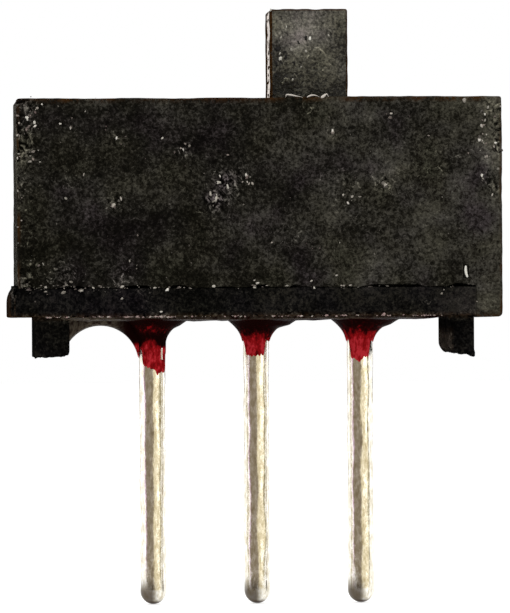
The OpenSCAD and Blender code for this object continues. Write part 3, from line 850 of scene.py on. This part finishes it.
    def shaded_edges(self, mesh):
        """Gives the stem's edges, the rear of its flanks and gaps along their polished front part
        the mesh's second material, which is dull and dark brown: painted shade, outlining the
        polished strip that reflects the light."""
        middle = places(mesh.polygons, "center")
        x, y, z = middle.T
        flank = np.abs(x - STEM_X) > 0.92
        uneven = 0.06 * ripple(middle * (0, 0, 1), 0.5, 28)
        edge = from_edge(middle, self.STEM_HIGH, STEM_X) < 0.042
        edge |= flank & (np.abs(y + 0.12 + uneven) > 0.4)
        edge |= flank & (ripple(middle * (0, 0.3, 1), 0.16, 26) > 1)
        edge &= z > COVER_HIGH[2] - 0.3
        mesh.polygons.foreach_set("material_index", edge.astype(np.int32))

    def wear_and_light(self, mesh):
        """Scuffs thickest on the front's left half and thin at its foot, rings round the ejector
        pin's mark, polished flanks, and painted shade: the stem darkens towards its foot, by the
        roof, and pales towards its top."""
        points = places(mesh.vertices)
        x, z, front = points[:, 0] - STEM_X, points[:, 2] - COVER_HIGH[2], points[:, 1] < -0.9
        scuff = patches(points, self.SCUFFS) + 0.12 + 0.25 * ~front
        radius = np.hypot(x - 0.1, z - 0.94)
        turn = np.degrees(np.arctan2(z - 0.94, x - 0.1))
        for ring, start, end in self.RINGS:
            scuff += 1.1 * front * bell(radius - ring, 0.022) * (turn > start) * (turn < end)
        edge = from_edge(points, self.STEM_HIGH, STEM_X)
        rub = smooth(edge, 0.06, 0.015) * (0.7 + 0.3 * ripple(points, 0.5, 25))
        # Painted shade: the stem darkens towards its foot, where it meets the roof, and pales
        # towards its top
        haze_and_light = smooth(z, 0.15, 0.75) * (0.44 + 0.15 * smooth(z, 1.2, 2.0))
        haze_and_light += patches(points, self.HAZE)
        store(mesh, "wear_and_light", scuff * smooth(z, 0.15, 0.5), rub * (z > 0.2), haze_and_light)
        flank = smooth(np.abs(x), 0.9, 0.93) * smooth(edge, 0.03, 0.12)
        store(mesh, "polish", flank, flank, flank)


class MakeTerminals(bpy.types.Operator):
    """Makes the three tinned terminals, with their heads and shanks inside the base"""

    bl_idname = "switch.make_terminals"
    bl_label = "Terminals"

    def execute(self, context):
        sizes, colours = settings(context)
        material = tinned_brass(colours.tin)
        for number, node in enumerate(TERMINALS):
            points = self.terminal(sizes, *corners(node), number)
            wire = closed_grid(f"{node}_wire", points)
            # Painted shade on the tip: dull brown over its left half, and brown where it is lowest
            place = places(wire.vertices) - ((number - 1) * PITCH, 0, points[..., 2].min())
            x, y, z = place.T / sizes.pin
            dull = smooth(x, 0.22, -0.1) * smooth(z, 1.2, 0.4)
            lowest = z + 0.5 * (np.abs(y) + np.maximum(x, 0))
            worn = np.maximum(0.9 * dull, smooth(lowest, 0.5, 0.2))
            store(wire, "wear_and_light", worn, worn, worn)
            show(wire, material, "terminal_metal", node)
        return {"FINISHED"}

    def terminal(self, sizes, low, high, number):
        """A terminal, turned: a half-round tip, the free pin, the thicker shank and the contact
        head. The pin's radius is drawn in by some 0.008 mm in streaks along it, as tin runs."""
        pin, shank, head = sizes.pin / 2, sizes.shank / 2, (high[0] - low[0]) / 2
        turn = np.linspace(0, math.pi / 2, 9)
        tip = np.stack([pin * np.sin(turn), low[2] + pin * (1 - np.cos(turn))], -1)
        shoulder, seat, edge = UNDER - 0.2, high[2] - 0.2, 0.03
        wall = [(pin, z) for z in np.linspace(low[2] + pin, shoulder, 120)[1:]]
        rest = [(shank, shoulder), (shank, seat), (head, seat), (head, high[2] - edge)]
        rest += [(head - edge, high[2]), (0, high[2])]
        points = turned(np.concatenate([tip, wall, rest]), 72)
        drawn = 0.0018 * (1.5 + ripple(points * (1, 1, 0.2), 0.22, 30 + number))
        drawn += 0.0035 * (1.5 + ripple(points * (1, 1, 0.6), 0.5, 40 + number))
        drawn *= smooth(points[..., 2], shoulder, shoulder - 0.1)
        radius = np.maximum(np.hypot(points[..., 0], points[..., 1]), 1e-6)
        points[..., :2] *= (1 - np.minimum(drawn, 0.3 * radius) / radius)[..., None]
        return points + ((low[0] + high[0]) / 2, 0, 0)


class MakeResin(bpy.types.Operator):
    """Makes the red resin: a drop on each terminal, the arch to the left foot and the film"""

    bl_idname = "switch.make_resin"
    bl_label = "Resin seals"

    # For each drop: the height where its tongue ends at the sides and in front, the tongue's slant,
    # its left and right edge and their softness (degrees), how far it comes to a point and where
    # (degrees), and the share and millimetres by which the drop and its collar bulge to the right
    TONGUES = (
        (0.31, -0.26, -0.13, -50, 72, 6, 6, 0.11, 22, 0.1, 0.08),
        (0.43, 0.05, 0.0, -58, 38, 10, 5, 0, 0, 0.1, 0.2),
        (0.40, -0.02, 0.05, -52, 40, 12, 6, 0.07, -4, 0.22, 0.12),
    )

    def execute(self, context):
        sizes, colours = settings(context)
        material = cast_resin(colours.resin, colours.resin_deep)
        for number, node in enumerate(SEALS):
            drop = ring_grid(f"{node}_drop", self.drop(sizes, number))
            points = places(drop.vertices)
            x, y, z = points.T
            facing = np.degrees(np.arctan2(x - (number - 1) * PITCH, -y))
            band = bell(z - 0.66, 0.15) * bell(facing, 60) * (0.8 + 0.3 * ripple(points, 0.4, 64))
            thick = (
                0.13 + 0.9 * smooth(z + 0.05 * ripple(points, 0.5, 63), 0.2, 0.5) - 0.82 * band,
                0.13 + 0.85 * smooth(z, 0.3, 0.9),
                -0.08 + 0.95 * smooth(z, 0.25, 0.95),
            )[number]
            store(drop, "thickness", thick, 0)
            show(drop, material, "seal_resin", node)
        for name, grid in (("seal_arch", self.arch(sizes)), ("seal_film", self.film())):
            piece = closed_grid(name, grid)
            x, y, z = places(piece.vertices).T
            dried = smooth(x, -PITCH - 0.6, -PITCH - 1.1)
            thin = smooth(z, 0.45, 0.3) * (1 - dried)
            store(piece, "thickness", 1 - 0.85 * thin, np.maximum(dried, 0.5 * (np.abs(y) > 1.7)))
            show(piece, material, "seal_resin")
        return {"FINISHED"}

    def drop(self, sizes, number):
        """A drop of resin, turned, with a ragged lower end: down the pin its outside stands off by
        0.48 t^2 mm, where t is the share of the way up to the base, with a collar to the right,
        and its inside runs back up along the pin. The first drop's sides reach further down, and it
        has a gap to the right, through which the tin shows."""
        high, low, slant, left, right, soft_left, soft_right, *rest = self.TONGUES[number]
        point, point_at, fat, collar = rest
        pin, shank, start, top = sizes.pin / 2, sizes.shank / 2, 0.36, 0.95
        angle, around = circle(144)
        facing = np.degrees(np.arctan2(np.cos(angle), -np.sin(angle)))
        tongue = smooth(facing, left - soft_left, left + soft_left)
        tongue *= smooth(facing, right + soft_right, right - soft_right)
        back = smooth(np.abs(facing), 100, 150) * 0.8
        reach = np.maximum(tongue, back * (0.5 + 0.4 * ripple(around, 0.9, 53 + number)))
        if number == 0:
            high = high - 0.17 * smooth(facing, -60, -70) - 0.2 * smooth(facing, 55, 68)
        fall = low - high + slant * facing / 90 - point * bell(facing - point_at, 14)
        end = high + fall * reach + 0.018 * ripple(around, 0.22, 50 + number)
        spread = 1 + 0.05 * ripple(around, 2.2, 56 + number) + fat * np.cos(angle)
        share = (1 - np.cos(np.linspace(0, math.pi, 56)))[:, None] / 2
        z = top + (end - top) * share
        outside = 0.48 * np.clip((z - start) / (top - start), 0, 1) ** 2 * spread
        outside += collar * smooth(z, 0.7, 0.8) * np.clip(np.cos(angle - 0.2), 0, 1) ** 2
        outside += 0.012 + 0.008 * smooth(z, 0, 0.5)
        body = np.stack([around[:, 0] + 0 * z, around[:, 1] + 0 * z, z], -1)
        outside *= 1 + 0.12 * ripple(body, 0.3, 59 + number) * (z < 0.5)
        outside *= np.sqrt(np.clip((z - end) / 0.05, 0, 1))
        radius = pin - 0.002 + outside
        if number == 0:
            gap = smooth(np.abs(facing - 48), 11, 8) * smooth(z, 0.3, 0.24)
            radius -= (radius - pin + 0.0135) * gap * smooth(z, -0.1, -0.04)
        # The inside, from the lower end up the pin and out over the shank
        inside = np.array([pin - 0.015, pin - 0.015, shank - 0.02, shank + 0.2])[:, None]
        levels = np.array([UNDER - 0.22, UNDER + 0.15, UNDER + 0.15])[:, None] + 0 * angle
        radius = np.concatenate([inside + 0 * angle, radius])
        height = np.concatenate([[end + 0.004], levels, z])
        x = (number - 1) * PITCH + radius * np.cos(angle)
        return np.stack([x, radius * np.sin(angle), height], -1)

    def arch(self, sizes):
        """The arch of resin from the left foot to its drop: along X the section hangs from the
        base down to the edge of a circle, and is a superellipse, boxy at the foot and pointed
        below at the drop."""
        foot = -(COVER_HIGH[0] - sizes.foot_inset - sizes.foot_width)
        x = np.linspace(foot - 0.05, -PITCH - 0.325, 80)
        centre, radius = -3.8, 0.93
        inside = np.clip(1 - ((x - centre) / radius) ** 2, 0, 1)
        low = np.clip(-0.14 + radius * np.sqrt(inside), 0, UNDER - 0.05)
        half = 0.55 + 0.25 * ((x - centre) / 0.8) ** 2
        half *= 1 - 0.8 * smooth(x, -3.5, -2.85)
        angle = np.linspace(-math.pi / 2, 3 * math.pi / 2, 56, endpoint=False)
        across, down = np.sin(angle), np.cos(angle)
        y = half[:, None] * np.sign(across) * np.abs(across) ** 0.7
        depth, power = (UNDER - low)[:, None], (0.45 + 0.9 * smooth(x, -3.6, -3))[:, None]
        z = UNDER - np.where(down > 0, depth * np.abs(down) ** power, -0.05 * np.abs(down))
        points = np.stack([x[:, None] + 0 * y, y, z], -1)
        points[..., 1] += 0.012 * ripple(points, 0.4, 61)
        ends = points[[0, -1]].mean(1, keepdims=True) + 0 * points[:1]
        return np.concatenate([ends[:1], points, ends[1:]])

    def film(self):
        """The film that has crept over the base's underside: a flat lens whose thickness is some
        0.075 mm times cos^0.3 u, where its share of the way to its uneven, nearly rectangular
        edge is sin u."""
        around = circle(160)[1]
        uneven, around = 1 + 0.03 * ripple(around, 0.8, 71), around[:, :2]
        reach = np.array([4.82, 1.87])
        rim = reach * np.sign(around) * np.abs(around) ** 0.35 * uneven[:, None]
        rim = np.clip(rim, -reach, reach)
        rise = np.linspace(0, math.pi / 2, 24)
        rise = np.concatenate([rise, rise[::-1]])[:, None]
        below = (np.arange(48) < 24)[:, None]
        x, y = rim[:, 0] * np.sin(rise) - 0.38, rim[:, 1] * np.sin(rise)
        uneven = 0.075 + 0.02 * ripple(np.stack([x, y, 0 * x], -1), 0.6, 72)
        thick = uneven * np.clip(np.cos(rise), 0, 1) ** 0.3
        return np.stack([x, y, np.where(below, UNDER - thick, UNDER + 0.01)], -1)


def chosen(table, y, stretch, pink):
    """Places, sizes, tones and pinks of flecks at the X and Z of a table, with size and tone."""
    table = np.array(table)
    place = np.insert(table[:, :2], 1, y, axis=1)
    return place, table[:, 2, None] * stretch, table[:, 3], pink + 0 * table[:, 3]


def show_flecks(name, groups, seed, material, body="housing"):
    """Shows small lumps as one piece, given in groups of places, sizes, tones and pinks. Each is a
    ball of 6 by 8 points, with its radius changed by a seeded share at every point, leaned to a
    side, stretched to its sizes and put at its place."""
    spots, sizes, tones, pinks = (np.concatenate(part) for part in zip(*groups))
    rng, count = np.random.default_rng(seed), len(spots)
    turn = np.linspace(0, math.pi, 6)
    ball = turned(np.stack([np.sin(turn), -np.cos(turn)], -1), 8).reshape(-1, 3)
    bulge = 1 + 0.22 * rng.normal(size=(count, 6, 1)) + 0.18 * rng.normal(size=(count, 1, 8))
    bulge[:, [0, -1]] = 1
    shape = ball * bulge.reshape(count, -1, 1)
    shape[..., 0] += rng.uniform(-0.6, 0.6, (count, 1)) * shape[..., 2]
    points = spots[:, None] + shape * sizes[:, None]
    faces = grid_faces(6, 8) + (np.arange(count) * len(ball))[:, None, None]
    mesh = mesh_of(name, points.reshape(-1, 3), faces.reshape(-1, 4))
    # Merged doubles change the order of points, so each point takes the tone of the nearest spot
    nearest = ((places(mesh.vertices)[:, None] - spots) ** 2).sum(-1).argmin(1)
    store(mesh, "tone", tones[nearest], pinks[nearest])
    slot = "cover_plastic" if body == "housing" else "slider_plastic"
    show(mesh, material, slot, body=body, sharp=180)


class MakeMarks(bpy.types.Operator):
    """Makes the pale flash along the seam, the beads of the worn lower edge, the nib and the torn
    bits on top, whose paleness is partly painted highlight
    """

    bl_idname = "switch.make_marks"
    bl_label = "Moulding flash"

    # Bits of flash on the front, pale partly as painted glints: X, Z, size and tone
    SEAM_BITS = (
        (-5.18, 1.73, 0.04, 0.6), (-4.32, 1.64, 0.05, 0.75), (-4.03, 1.71, 0.05, 0.65),
        (-3.35, 1.73, 0.05, 0.8), (-2.25, 1.66, 0.06, 1.0), (-2.55, 1.7, 0.035, 0.7),
        (-1.14, 1.73, 0.05, 0.75), (-0.15, 1.7, 0.04, 0.7), (-0.08, 1.8, 0.05, 0.75),
        (-0.16, 1.87, 0.03, 0.6), (1.22, 1.85, 0.035, 0.7), (1.29, 1.69, 0.04, 0.8),
        (1.82, 1.98, 0.035, 0.6), (-3.35, 1.45, 0.045, 0.6), (-2.4, 1.13, 0.04, 0.8),
        (-4.75, 1.6, 0.06, 0.4), (-4.55, 1.85, 0.05, 0.35), (4.36, 1.53, 0.035, 0.4),
        (4.42, 1.62, 0.025, 0.45), (5.22, 1.33, 0.025, 0.4),
    )
    # Torn bits on the roof's front edge: X of their ends, height, skew and thickness
    TORN_BITS = (
        (0.62, 1.05, 0.075, 0.3, 0.02), (1.14, 1.45, 0.06, 1.0, 0.02),
        (1.47, 1.66, 0.085, 2.5, 0.034),
    )

    def execute(self, context):
        sizes, colours = settings(context)
        seam, material = UNDER + sizes.flange, dust_and_glints(colours.dust)
        rng = np.random.default_rng(80)
        self.seam_bits(rng, seam, material)
        self.edge_beads(rng, material)
        self.nib(seam, material)
        self.torn_bits(material)
        return {"FINISHED"}

    def strewn(self, rng, count, start, end, y, z):
        """Places strewn from start to end along two edges, in front and at the back."""
        x, side = rng.uniform(start, end, count), rng.choice((-1, 1), count)
        return np.stack([x, side * y, np.full(count, z)], -1)

    def seam_bits(self, rng, seam, material):
        """Flash along the seam, front and back: flat bits up to 0.14 mm long, gathered where a
        ripple along X is high. Their pale tones are partly painted glints on the burrs."""
        spot = self.strewn(rng, 900, COVER_LOW[0] + 0.1, 5.1, COVER_HIGH[1] - 0.008, seam)
        chance = 0.09 + 0.9 * smooth(ripple(spot, 0.9, 81), 0.5, 1.7)
        chance += 0.8 * smooth(spot[:, 0], -2.8, -3.4)
        spot = spot[rng.uniform(0, 1, 900) < chance * 0.42]
        spot[:, 2] += rng.normal(0.01, 0.02 + 0.03 * smooth(spot[:, 0], -2.6, -3.4))
        size = 0.007 + 0.026 * rng.beta(1.2, 4, (len(spot), 1)) * (2.4, 0.7, 0.7)
        tone, pink = 0.7 * rng.beta(1.5, 2.2, len(spot)), rng.uniform(0, 0.15, len(spot))
        bits = chosen(self.SEAM_BITS, -COVER_HIGH[1], (0.8, 0.4, 0.6), 0.06)
        show_flecks("seam_flash", [(spot, size, tone, pink), bits], 82, material)

    def edge_beads(self, rng, material):
        """Pale beads where the base's lower edges are worn, front and back, which are partly a
        painted highlight along those edges.
        """
        spot = self.strewn(rng, 1100, -5.2, 4.4, BASE_HIGH[1] - 0.03, UNDER)
        chance = 0.3 + 0.5 * smooth(ripple(spot, 1.1, 84), 0, 1.4)
        chance += 0.5 * bell(spot[:, 0] + 2.6, 0.8)
        spot = spot[rng.uniform(0, 1, 1100) < chance * 0.75]
        spot[:, 2] += rng.uniform(0, 0.035, len(spot))
        size = 0.01 + 0.03 * rng.beta(1.3, 4, (len(spot), 1)) * (1.5, 1, 0.9)
        tone, pink = rng.beta(1.3, 2.2, len(spot)), rng.uniform(0, 0.9, len(spot))
        show_flecks("edge_beads", [(spot, size, tone, pink)], 85, material)

    def nib(self, seam, material):
        """The nib in its pocket beside the slit, a burr painted at the palest tone as a painted
        highlight: a bent tube, thickest in the middle.
        """
        height = np.linspace(-0.15, 0.14, 24)
        x = BASE_HIGH[0] - 0.25 + 1.1 * (height - 0.06) ** 2
        path = np.stack([x, np.full(24, COVER_LOW[1] + 0.01), seam + 0.36 + height], -1)
        radii = 0.032 * np.cos(height / height[-1] * 1.1) ** 0.6
        mesh = closed_grid("nib", tube(path, radii, 10))
        # Painted highlight: the burr takes the palest tone, for the light that it catches
        store(mesh, "tone", 1, 0)
        show(mesh, material, "cover_plastic")

    def torn_bits(self, material):
        """Torn bits on the roof's front edge by the stem: their height goes with the sine of
        pi * t^k to the power 0.7, where t is the share of their length, so that k moves their top
        to one end."""
        share = np.linspace(0, 1, 20)
        grids = []
        for start, end, height, skew, thick in self.TORN_BITS:
            z = COVER_HIGH[2] - 0.01 + height * np.sin(math.pi * share**skew) ** 0.7
            y = np.full(20, COVER_LOW[1] + 0.03)
            path = np.stack([start + (end - start) * share, y, z], -1)
            grids.append(tube(path, thick * (0.6 + 0.4 * np.sin(5 * share)), 8))
        faces = np.concatenate([grid_faces(20, 8) + 160 * k for k in range(len(grids))])
        mesh = mesh_of("torn_bits", np.concatenate(grids).reshape(-1, 3), faces)
        # Pale tone: torn plastic, and partly a painted highlight along the roof's edge
        store(mesh, "tone", 0.85, 0.2)
        show(mesh, material, "cover_plastic")


class MakeDust(bpy.types.Operator):
    """Scatters flecks of dust over the cover, and puts bright chips at chosen spots on its front,
    which stand partly for glints there: painted highlights
    """

    bl_idname = "switch.make_dust"
    bl_label = "Dust"

    # Clusters on the front: X and Z of the middle, spread, largest size and number of flecks
    CLUSTERS = (
        (-0.75, 4.25, 0.3, 0.05, 9), (-1.12, 3.88, 0.1, 0.05, 4), (-0.3, 4.38, 0.07, 0.055, 3),
        (-1.84, 5.02, 0.12, 0.045, 5), (-3.45, 5.28, 0.1, 0.05, 3), (-4.62, 5.6, 0.15, 0.03, 3),
        (-3.5, 3.75, 0.15, 0.04, 5), (-2.9, 5.25, 0.3, 0.025, 4), (-5.62, 6.0, 0.16, 0.045, 12),
        (-5.6, 5.5, 0.16, 0.05, 14), (-5.6, 4.95, 0.17, 0.045, 12), (-5.55, 3.6, 0.6, 0.035, 9),
        (-5.4, 2.0, 0.3, 0.035, 5), (1.76, 5.42, 0.03, 0.055, 2), (3.17, 5.86, 0.07, 0.04, 3),
        (2.4, 5.15, 0.15, 0.03, 3), (3.03, 4.13, 0.06, 0.05, 3), (3.5, 4.65, 0.2, 0.03, 3),
        (2.2, 3.85, 0.12, 0.035, 3), (5.5, 5.85, 0.15, 0.04, 8), (5.42, 5.4, 0.12, 0.05, 8),
        (5.6, 4.95, 0.17, 0.045, 9), (5.4, 4.4, 0.35, 0.035, 8), (-3.1, 2.3, 0.15, 0.035, 3),
        (0.3, 3.2, 0.7, 0.03, 6), (4.6, 3.0, 0.5, 0.025, 4),
    )
    # Bright chips on the front, partly painted glints: X, Z, half their size and tone
    CHIPS_AND_GLINTS = (
        (-4.8, 5.65, 0.035, 0.8), (-4.55, 5.55, 0.045, 0.9), (-4.2, 5.95, 0.03, 0.7),
        (-3.45, 5.3, 0.055, 0.95), (-2.35, 5.3, 0.035, 0.8), (-1.85, 5.02, 0.05, 0.9),
        (-0.97, 4.38, 0.035, 0.8), (-0.34, 4.41, 0.06, 0.85), (-1.07, 3.82, 0.06, 0.8),
        (-1.2, 3.95, 0.045, 0.7), (-3.55, 3.68, 0.06, 0.75), (-3.35, 3.85, 0.05, 0.65),
        (-3.15, 2.35, 0.035, 0.6), (1.75, 5.44, 0.06, 1.0), (3.17, 5.87, 0.04, 0.7),
        (3.03, 4.14, 0.045, 0.75), (2.22, 3.88, 0.04, 0.65), (4.93, 6.18, 0.05, 0.55),
        (5.43, 5.85, 0.035, 0.9), (5.35, 5.57, 0.06, 0.75), (5.3, 5.23, 0.05, 0.9),
        (5.7, 5.15, 0.04, 0.95), (5.35, 4.37, 0.05, 0.95), (5.6, 3.9, 0.035, 0.7),
    )

    def execute(self, context):
        marks, colours = context.scene.switch_marks, context.scene.switch_colours
        low, high, count = COVER_LOW, COVER_HIGH, marks.flecks
        rng = np.random.default_rng(marks.seed)
        spot = rng.uniform(low, high, (count, 3))
        # The front, the back, the left end, the right end or the roof, but not its slot
        face = rng.choice(5, count, p=(0.3, 0.38, 0.07, 0.07, 0.18))
        axis = np.array([1, 1, 0, 0, 2])[face]
        spot[np.arange(count), axis] = np.array([low[1], high[1], low[0], high[0], high[2]])[face]
        upright = face < 4
        spot[upright, 2] = rng.uniform(UNDER + 0.8, high[2] - 0.1, upright.sum())
        keep = upright | (np.abs(spot[:, 0]) >= 2.4) | (np.abs(spot[:, 1]) >= 1.2)
        spot, axis = spot[keep], axis[keep]
        size = 0.01 + 0.022 * rng.beta(1.2, 4.5, len(spot))
        for x, z, spread, largest, number in self.CLUSTERS:
            near = rng.normal((x, 0, z), spread, (number, 3))
            near[:, 0] = np.clip(near[:, 0], low[0] + 0.03, high[0] - 0.03)
            near[:, 1] = low[1]
            spot = np.concatenate([spot, near])
            axis = np.append(axis, np.ones(number, int))
            size = np.append(size, largest * rng.uniform(0.25, 0.85, number))
        stretch = size[:, None] * rng.uniform(0.5, 1.4, (len(spot), 3))
        stretch[np.arange(len(spot)), axis] = size * 0.35
        tone = rng.beta(1.1, 1.3, len(spot)) * smooth(size, 0.004, 0.03)
        pink = rng.uniform(0, 0.5, len(spot)) ** 2
        uneven = rng.uniform(0.45, 1.2, (len(self.CHIPS_AND_GLINTS), 3)) * (0.8, 0.4, 1.0)
        groups = [(spot, stretch, tone, pink), chosen(self.CHIPS_AND_GLINTS, low[1], uneven, 0.1)]
        show_flecks("dust_flecks", groups, marks.seed + 1, dust_and_glints(colours.dust))
        return {"FINISHED"}


class FinishMechanism(bpy.types.Operator):
    """Gives the hidden contact bridge, springs and balls their metals"""

    bl_idname = "switch.finish_mechanism"
    bl_label = "Mechanism"

    # Each metal's name, colour, roughness and width of line, and the nodes that are made of it
    METALS = (
        ("gold-plated copper alloy", "#d8b56a", 0.25, 0.08, "contact_bridge"),
        ("drawn spring steel", "#b9bbbe", 0.3, 0.02, "contact_spring", "detent_spring"),
        ("ground steel", "#c9cbce", 0.08, 0.05, "detent_ball_front", "detent_ball_back"),
    )

    def execute(self, context):
        for name, code, roughness, line, *nodes in self.METALS:
            metal = bare_metal(name, linear(code), roughness, line)
            for node in nodes:
                data = frame["nodes"][node].data
                data.materials.clear()
                data.materials.append(metal)
        return {"FINISHED"}


# --- stage


class SetStage(bpy.types.Operator):
    """Sets the pale floor, the soft lamps, the room and the camera"""

    bl_idname = "switch.set_stage"
    bl_label = "Stage"

    # The wall's panels: linear colour, and start and end in shares of a turn, from behind over
    # the left
    WHITE, EDGE = (1.6, 1.6, 1.6, 1), (0.2, 0.19, 0.22, 1)
    PANELS = (
        ((1.25, 1.14, 1.05, 1), 0.06),
        (EDGE, 0.068, 0.112),
        (WHITE, 0.122, 0.284),
        ((0.85, 0.5, 0.9, 1), 0.29, 0.3),
        ((0.31, 0.26, 0.2, 1), 0.307, 0.508),
        ((1.02, 0.92, 0.68, 1), 0.52, 0.678),
        ((0.4, 0.35, 0.22, 1), 0.686, 0.718),
        (WHITE, 0.728, 0.878),
        (EDGE, 0.888, 0.932),
        (WHITE, 0.94),
    )

    def execute(self, context):
        scene = context.scene
        self.floor()
        self.wall()
        self.room(scene)
        self.lamp("key", (-65, -135, 120), 60, 0.1)
        self.lamp("fill", (120, -110, 40), 90, 0.03)
        self.camera(scene)
        scene.view_settings.view_transform = "Standard"
        return {"FINISHED"}

    def seen(self, node):
        """1 for what the camera sees itself, mirrored or through something, and otherwise 0."""
        paths = node("LightPath").outputs
        seen = paths["Is Camera Ray"]
        for way in ("Is Glossy Ray", "Is Transmission Ray"):
            seen = node("Math", {0: seen, 1: paths[way]}, operation="MAXIMUM")
        return seen

    def floor(self):
        """A table top just under the terminals' tips, pale and matt, whose front edge is 3.5 mm in
        front of them. It shows white to the camera and to gloss but keeps the shadow."""
        top = CAD_BOX[0][2] / MM - 0.01
        mesh = closed_grid("floor", block((-400, -3.5, top - 1), (400, 400, top)))
        material = bpy.data.materials.new("pale floor")
        node = emptied(material)
        lift = node("Math", {0: self.seen(node), 1: 0.6}, operation="MULTIPLY")
        inputs = {"Base Color": "#d2d2d0", "Roughness": 0.9, "Specular IOR Level": 0.0}
        inputs |= {"Emission Color": (1, 1, 1, 1), "Emission Strength": lift}
        node("OutputMaterial", {"Surface": node("BsdfPrincipled", inputs)})
        mesh.materials.append(material)
        floor = link("floor", mesh)

    def wall(self):
        """A round wall of glowing panels, 220 mm from the switch and seen only in gloss: white at
        the sides, cream and white behind, a dark panel behind each side, and before the switch a
        grey panel left of the camera and a warm one right of it, with a lilac and an olive strip
        beside them. The panels are bands of the angle round Z."""
        turn, rise = np.meshgrid(np.radians(np.linspace(-180, 180, 181)), np.linspace(-70, 110, 3))
        outer = np.stack([220 * np.sin(turn), -220 * np.cos(turn), rise], -1)
        inner = outer * (0.99, 0.99, 1)
        mesh = ring_grid("wall", np.concatenate([outer, inner[::-1]]).transpose(1, 0, 2))
        material = bpy.data.materials.new("glowing panels")
        node = emptied(material)
        way = node("TexCoord").outputs["Object"]
        way = node("SeparateXYZ", {"Vector": way}).outputs
        forward = node("Math", {0: way["Y"], 1: -1.0}, operation="MULTIPLY")
        angle = node("Math", {0: way["X"], 1: forward}, operation="ARCTAN2")
        share = node("MapRange", {"Value": angle, "From Min": -math.pi, "From Max": math.pi})
        stops = [(place, colour) for colour, *ends in self.PANELS for place in ends]
        glow = node("ValToRGB", {"Fac": share}, stops)
        glow = node("Emission", {"Color": glow, "Strength": 1.0})
        node("OutputMaterial", {"Surface": glow})
        mesh.materials.append(material)
        wall = link("wall", mesh)
        wall.visible_camera = wall.visible_diffuse = wall.visible_shadow = False

    def room(self, scene):
        """The room: white to the camera and to gloss, and otherwise grey with a white ceiling."""
        scene.world = bpy.data.worlds.new("room")
        node = emptied(scene.world)
        way = node("TexCoord").outputs["Generated"]
        way = node("SeparateXYZ", {"Vector": way}).outputs
        above = node("MapRange", {"Value": way["Z"], "From Min": 0.7, "From Max": 0.85})
        inputs = {0: above, 6: (0.69, 0.69, 0.69, 1), 7: self.WHITE}
        felt = node("Mix", inputs, data_type="RGBA")
        colour = node("Mix", {0: self.seen(node), 6: felt, 7: (1, 1, 1, 1)}, data_type="RGBA")
        glow = node("Background", {"Color": colour, "Strength": 1.0})
        node("OutputWorld", {"Surface": glow})

    def lamp(self, name, place, width, power):
        """A soft square lamp at a place in millimetres, turned to the switch."""
        data = bpy.data.lights.new(name, "AREA")
        data.size, data.energy = width * MM, power
        lamp = link(name, data)
        lamp.location = Vector(place) * MM
        lamp.rotation_euler = lamp.location.to_track_quat("Z", "Y").to_euler()

    def camera(self, scene):
        """A long lens 140 mm from the switch, level and a little to its left."""
        data = bpy.data.cameras.new("camera")
        data.sensor_width, data.lens = 36, 337
        data.clip_start, data.clip_end = 5 * MM, 2.0
        azimuth, distance, roll = math.radians(-3.6), 140 * MM, math.radians(0.33)
        back = Vector((math.sin(azimuth), -math.cos(azimuth), 0))
        scene.camera = link("camera", data)
        scene.camera.location = Vector((-0.018, 0, 1.24)) * MM + back * distance
        scene.camera.rotation_euler = back.to_track_quat("Z", "Y").to_euler()
        scene.camera.rotation_euler.rotate_axis("Z", -roll)


# --- add-on


STEPS = (MakeCover, MakeBase, MakeSlider, MakeTerminals, MakeResin)
STEPS += (MakeMarks, MakeDust, FinishMechanism, SetStage)
GROUPS = {"switch_sizes": SwitchSizes, "switch_colours": SwitchColours}
GROUPS["switch_marks"] = SwitchMarks


class SwitchPanel(bpy.types.Panel):
    """Lists the steps that build the switch, with the sizes and colours that they use"""

    bl_idname = "VIEW3D_PT_switch"
    bl_label = "Slide Switch"
    bl_space_type = "VIEW_3D"
    bl_region_type = "UI"
    bl_category = "Slide Switch"

    def draw(self, context):
        for step in STEPS:
            self.layout.operator(step.bl_idname)
        for name, group in GROUPS.items():
            box = self.layout.box()
            for setting in group.__annotations__:
                box.prop(getattr(context.scene, name), setting)


def register():
    for kind in (*GROUPS.values(), *STEPS, SwitchPanel):
        bpy.utils.register_class(kind)
    for name, group in GROUPS.items():
        setattr(bpy.types.Scene, name, PointerProperty(type=group))


def unregister():
    for name in GROUPS:
        delattr(bpy.types.Scene, name)
    for kind in reversed((*GROUPS.values(), *STEPS, SwitchPanel)):
        bpy.utils.unregister_class(kind)


def main():
    register()
    for step in STEPS:
        group, name = step.bl_idname.split(".")
        getattr(getattr(bpy.ops, group), name)()


if __name__ == "__main__":
    main()
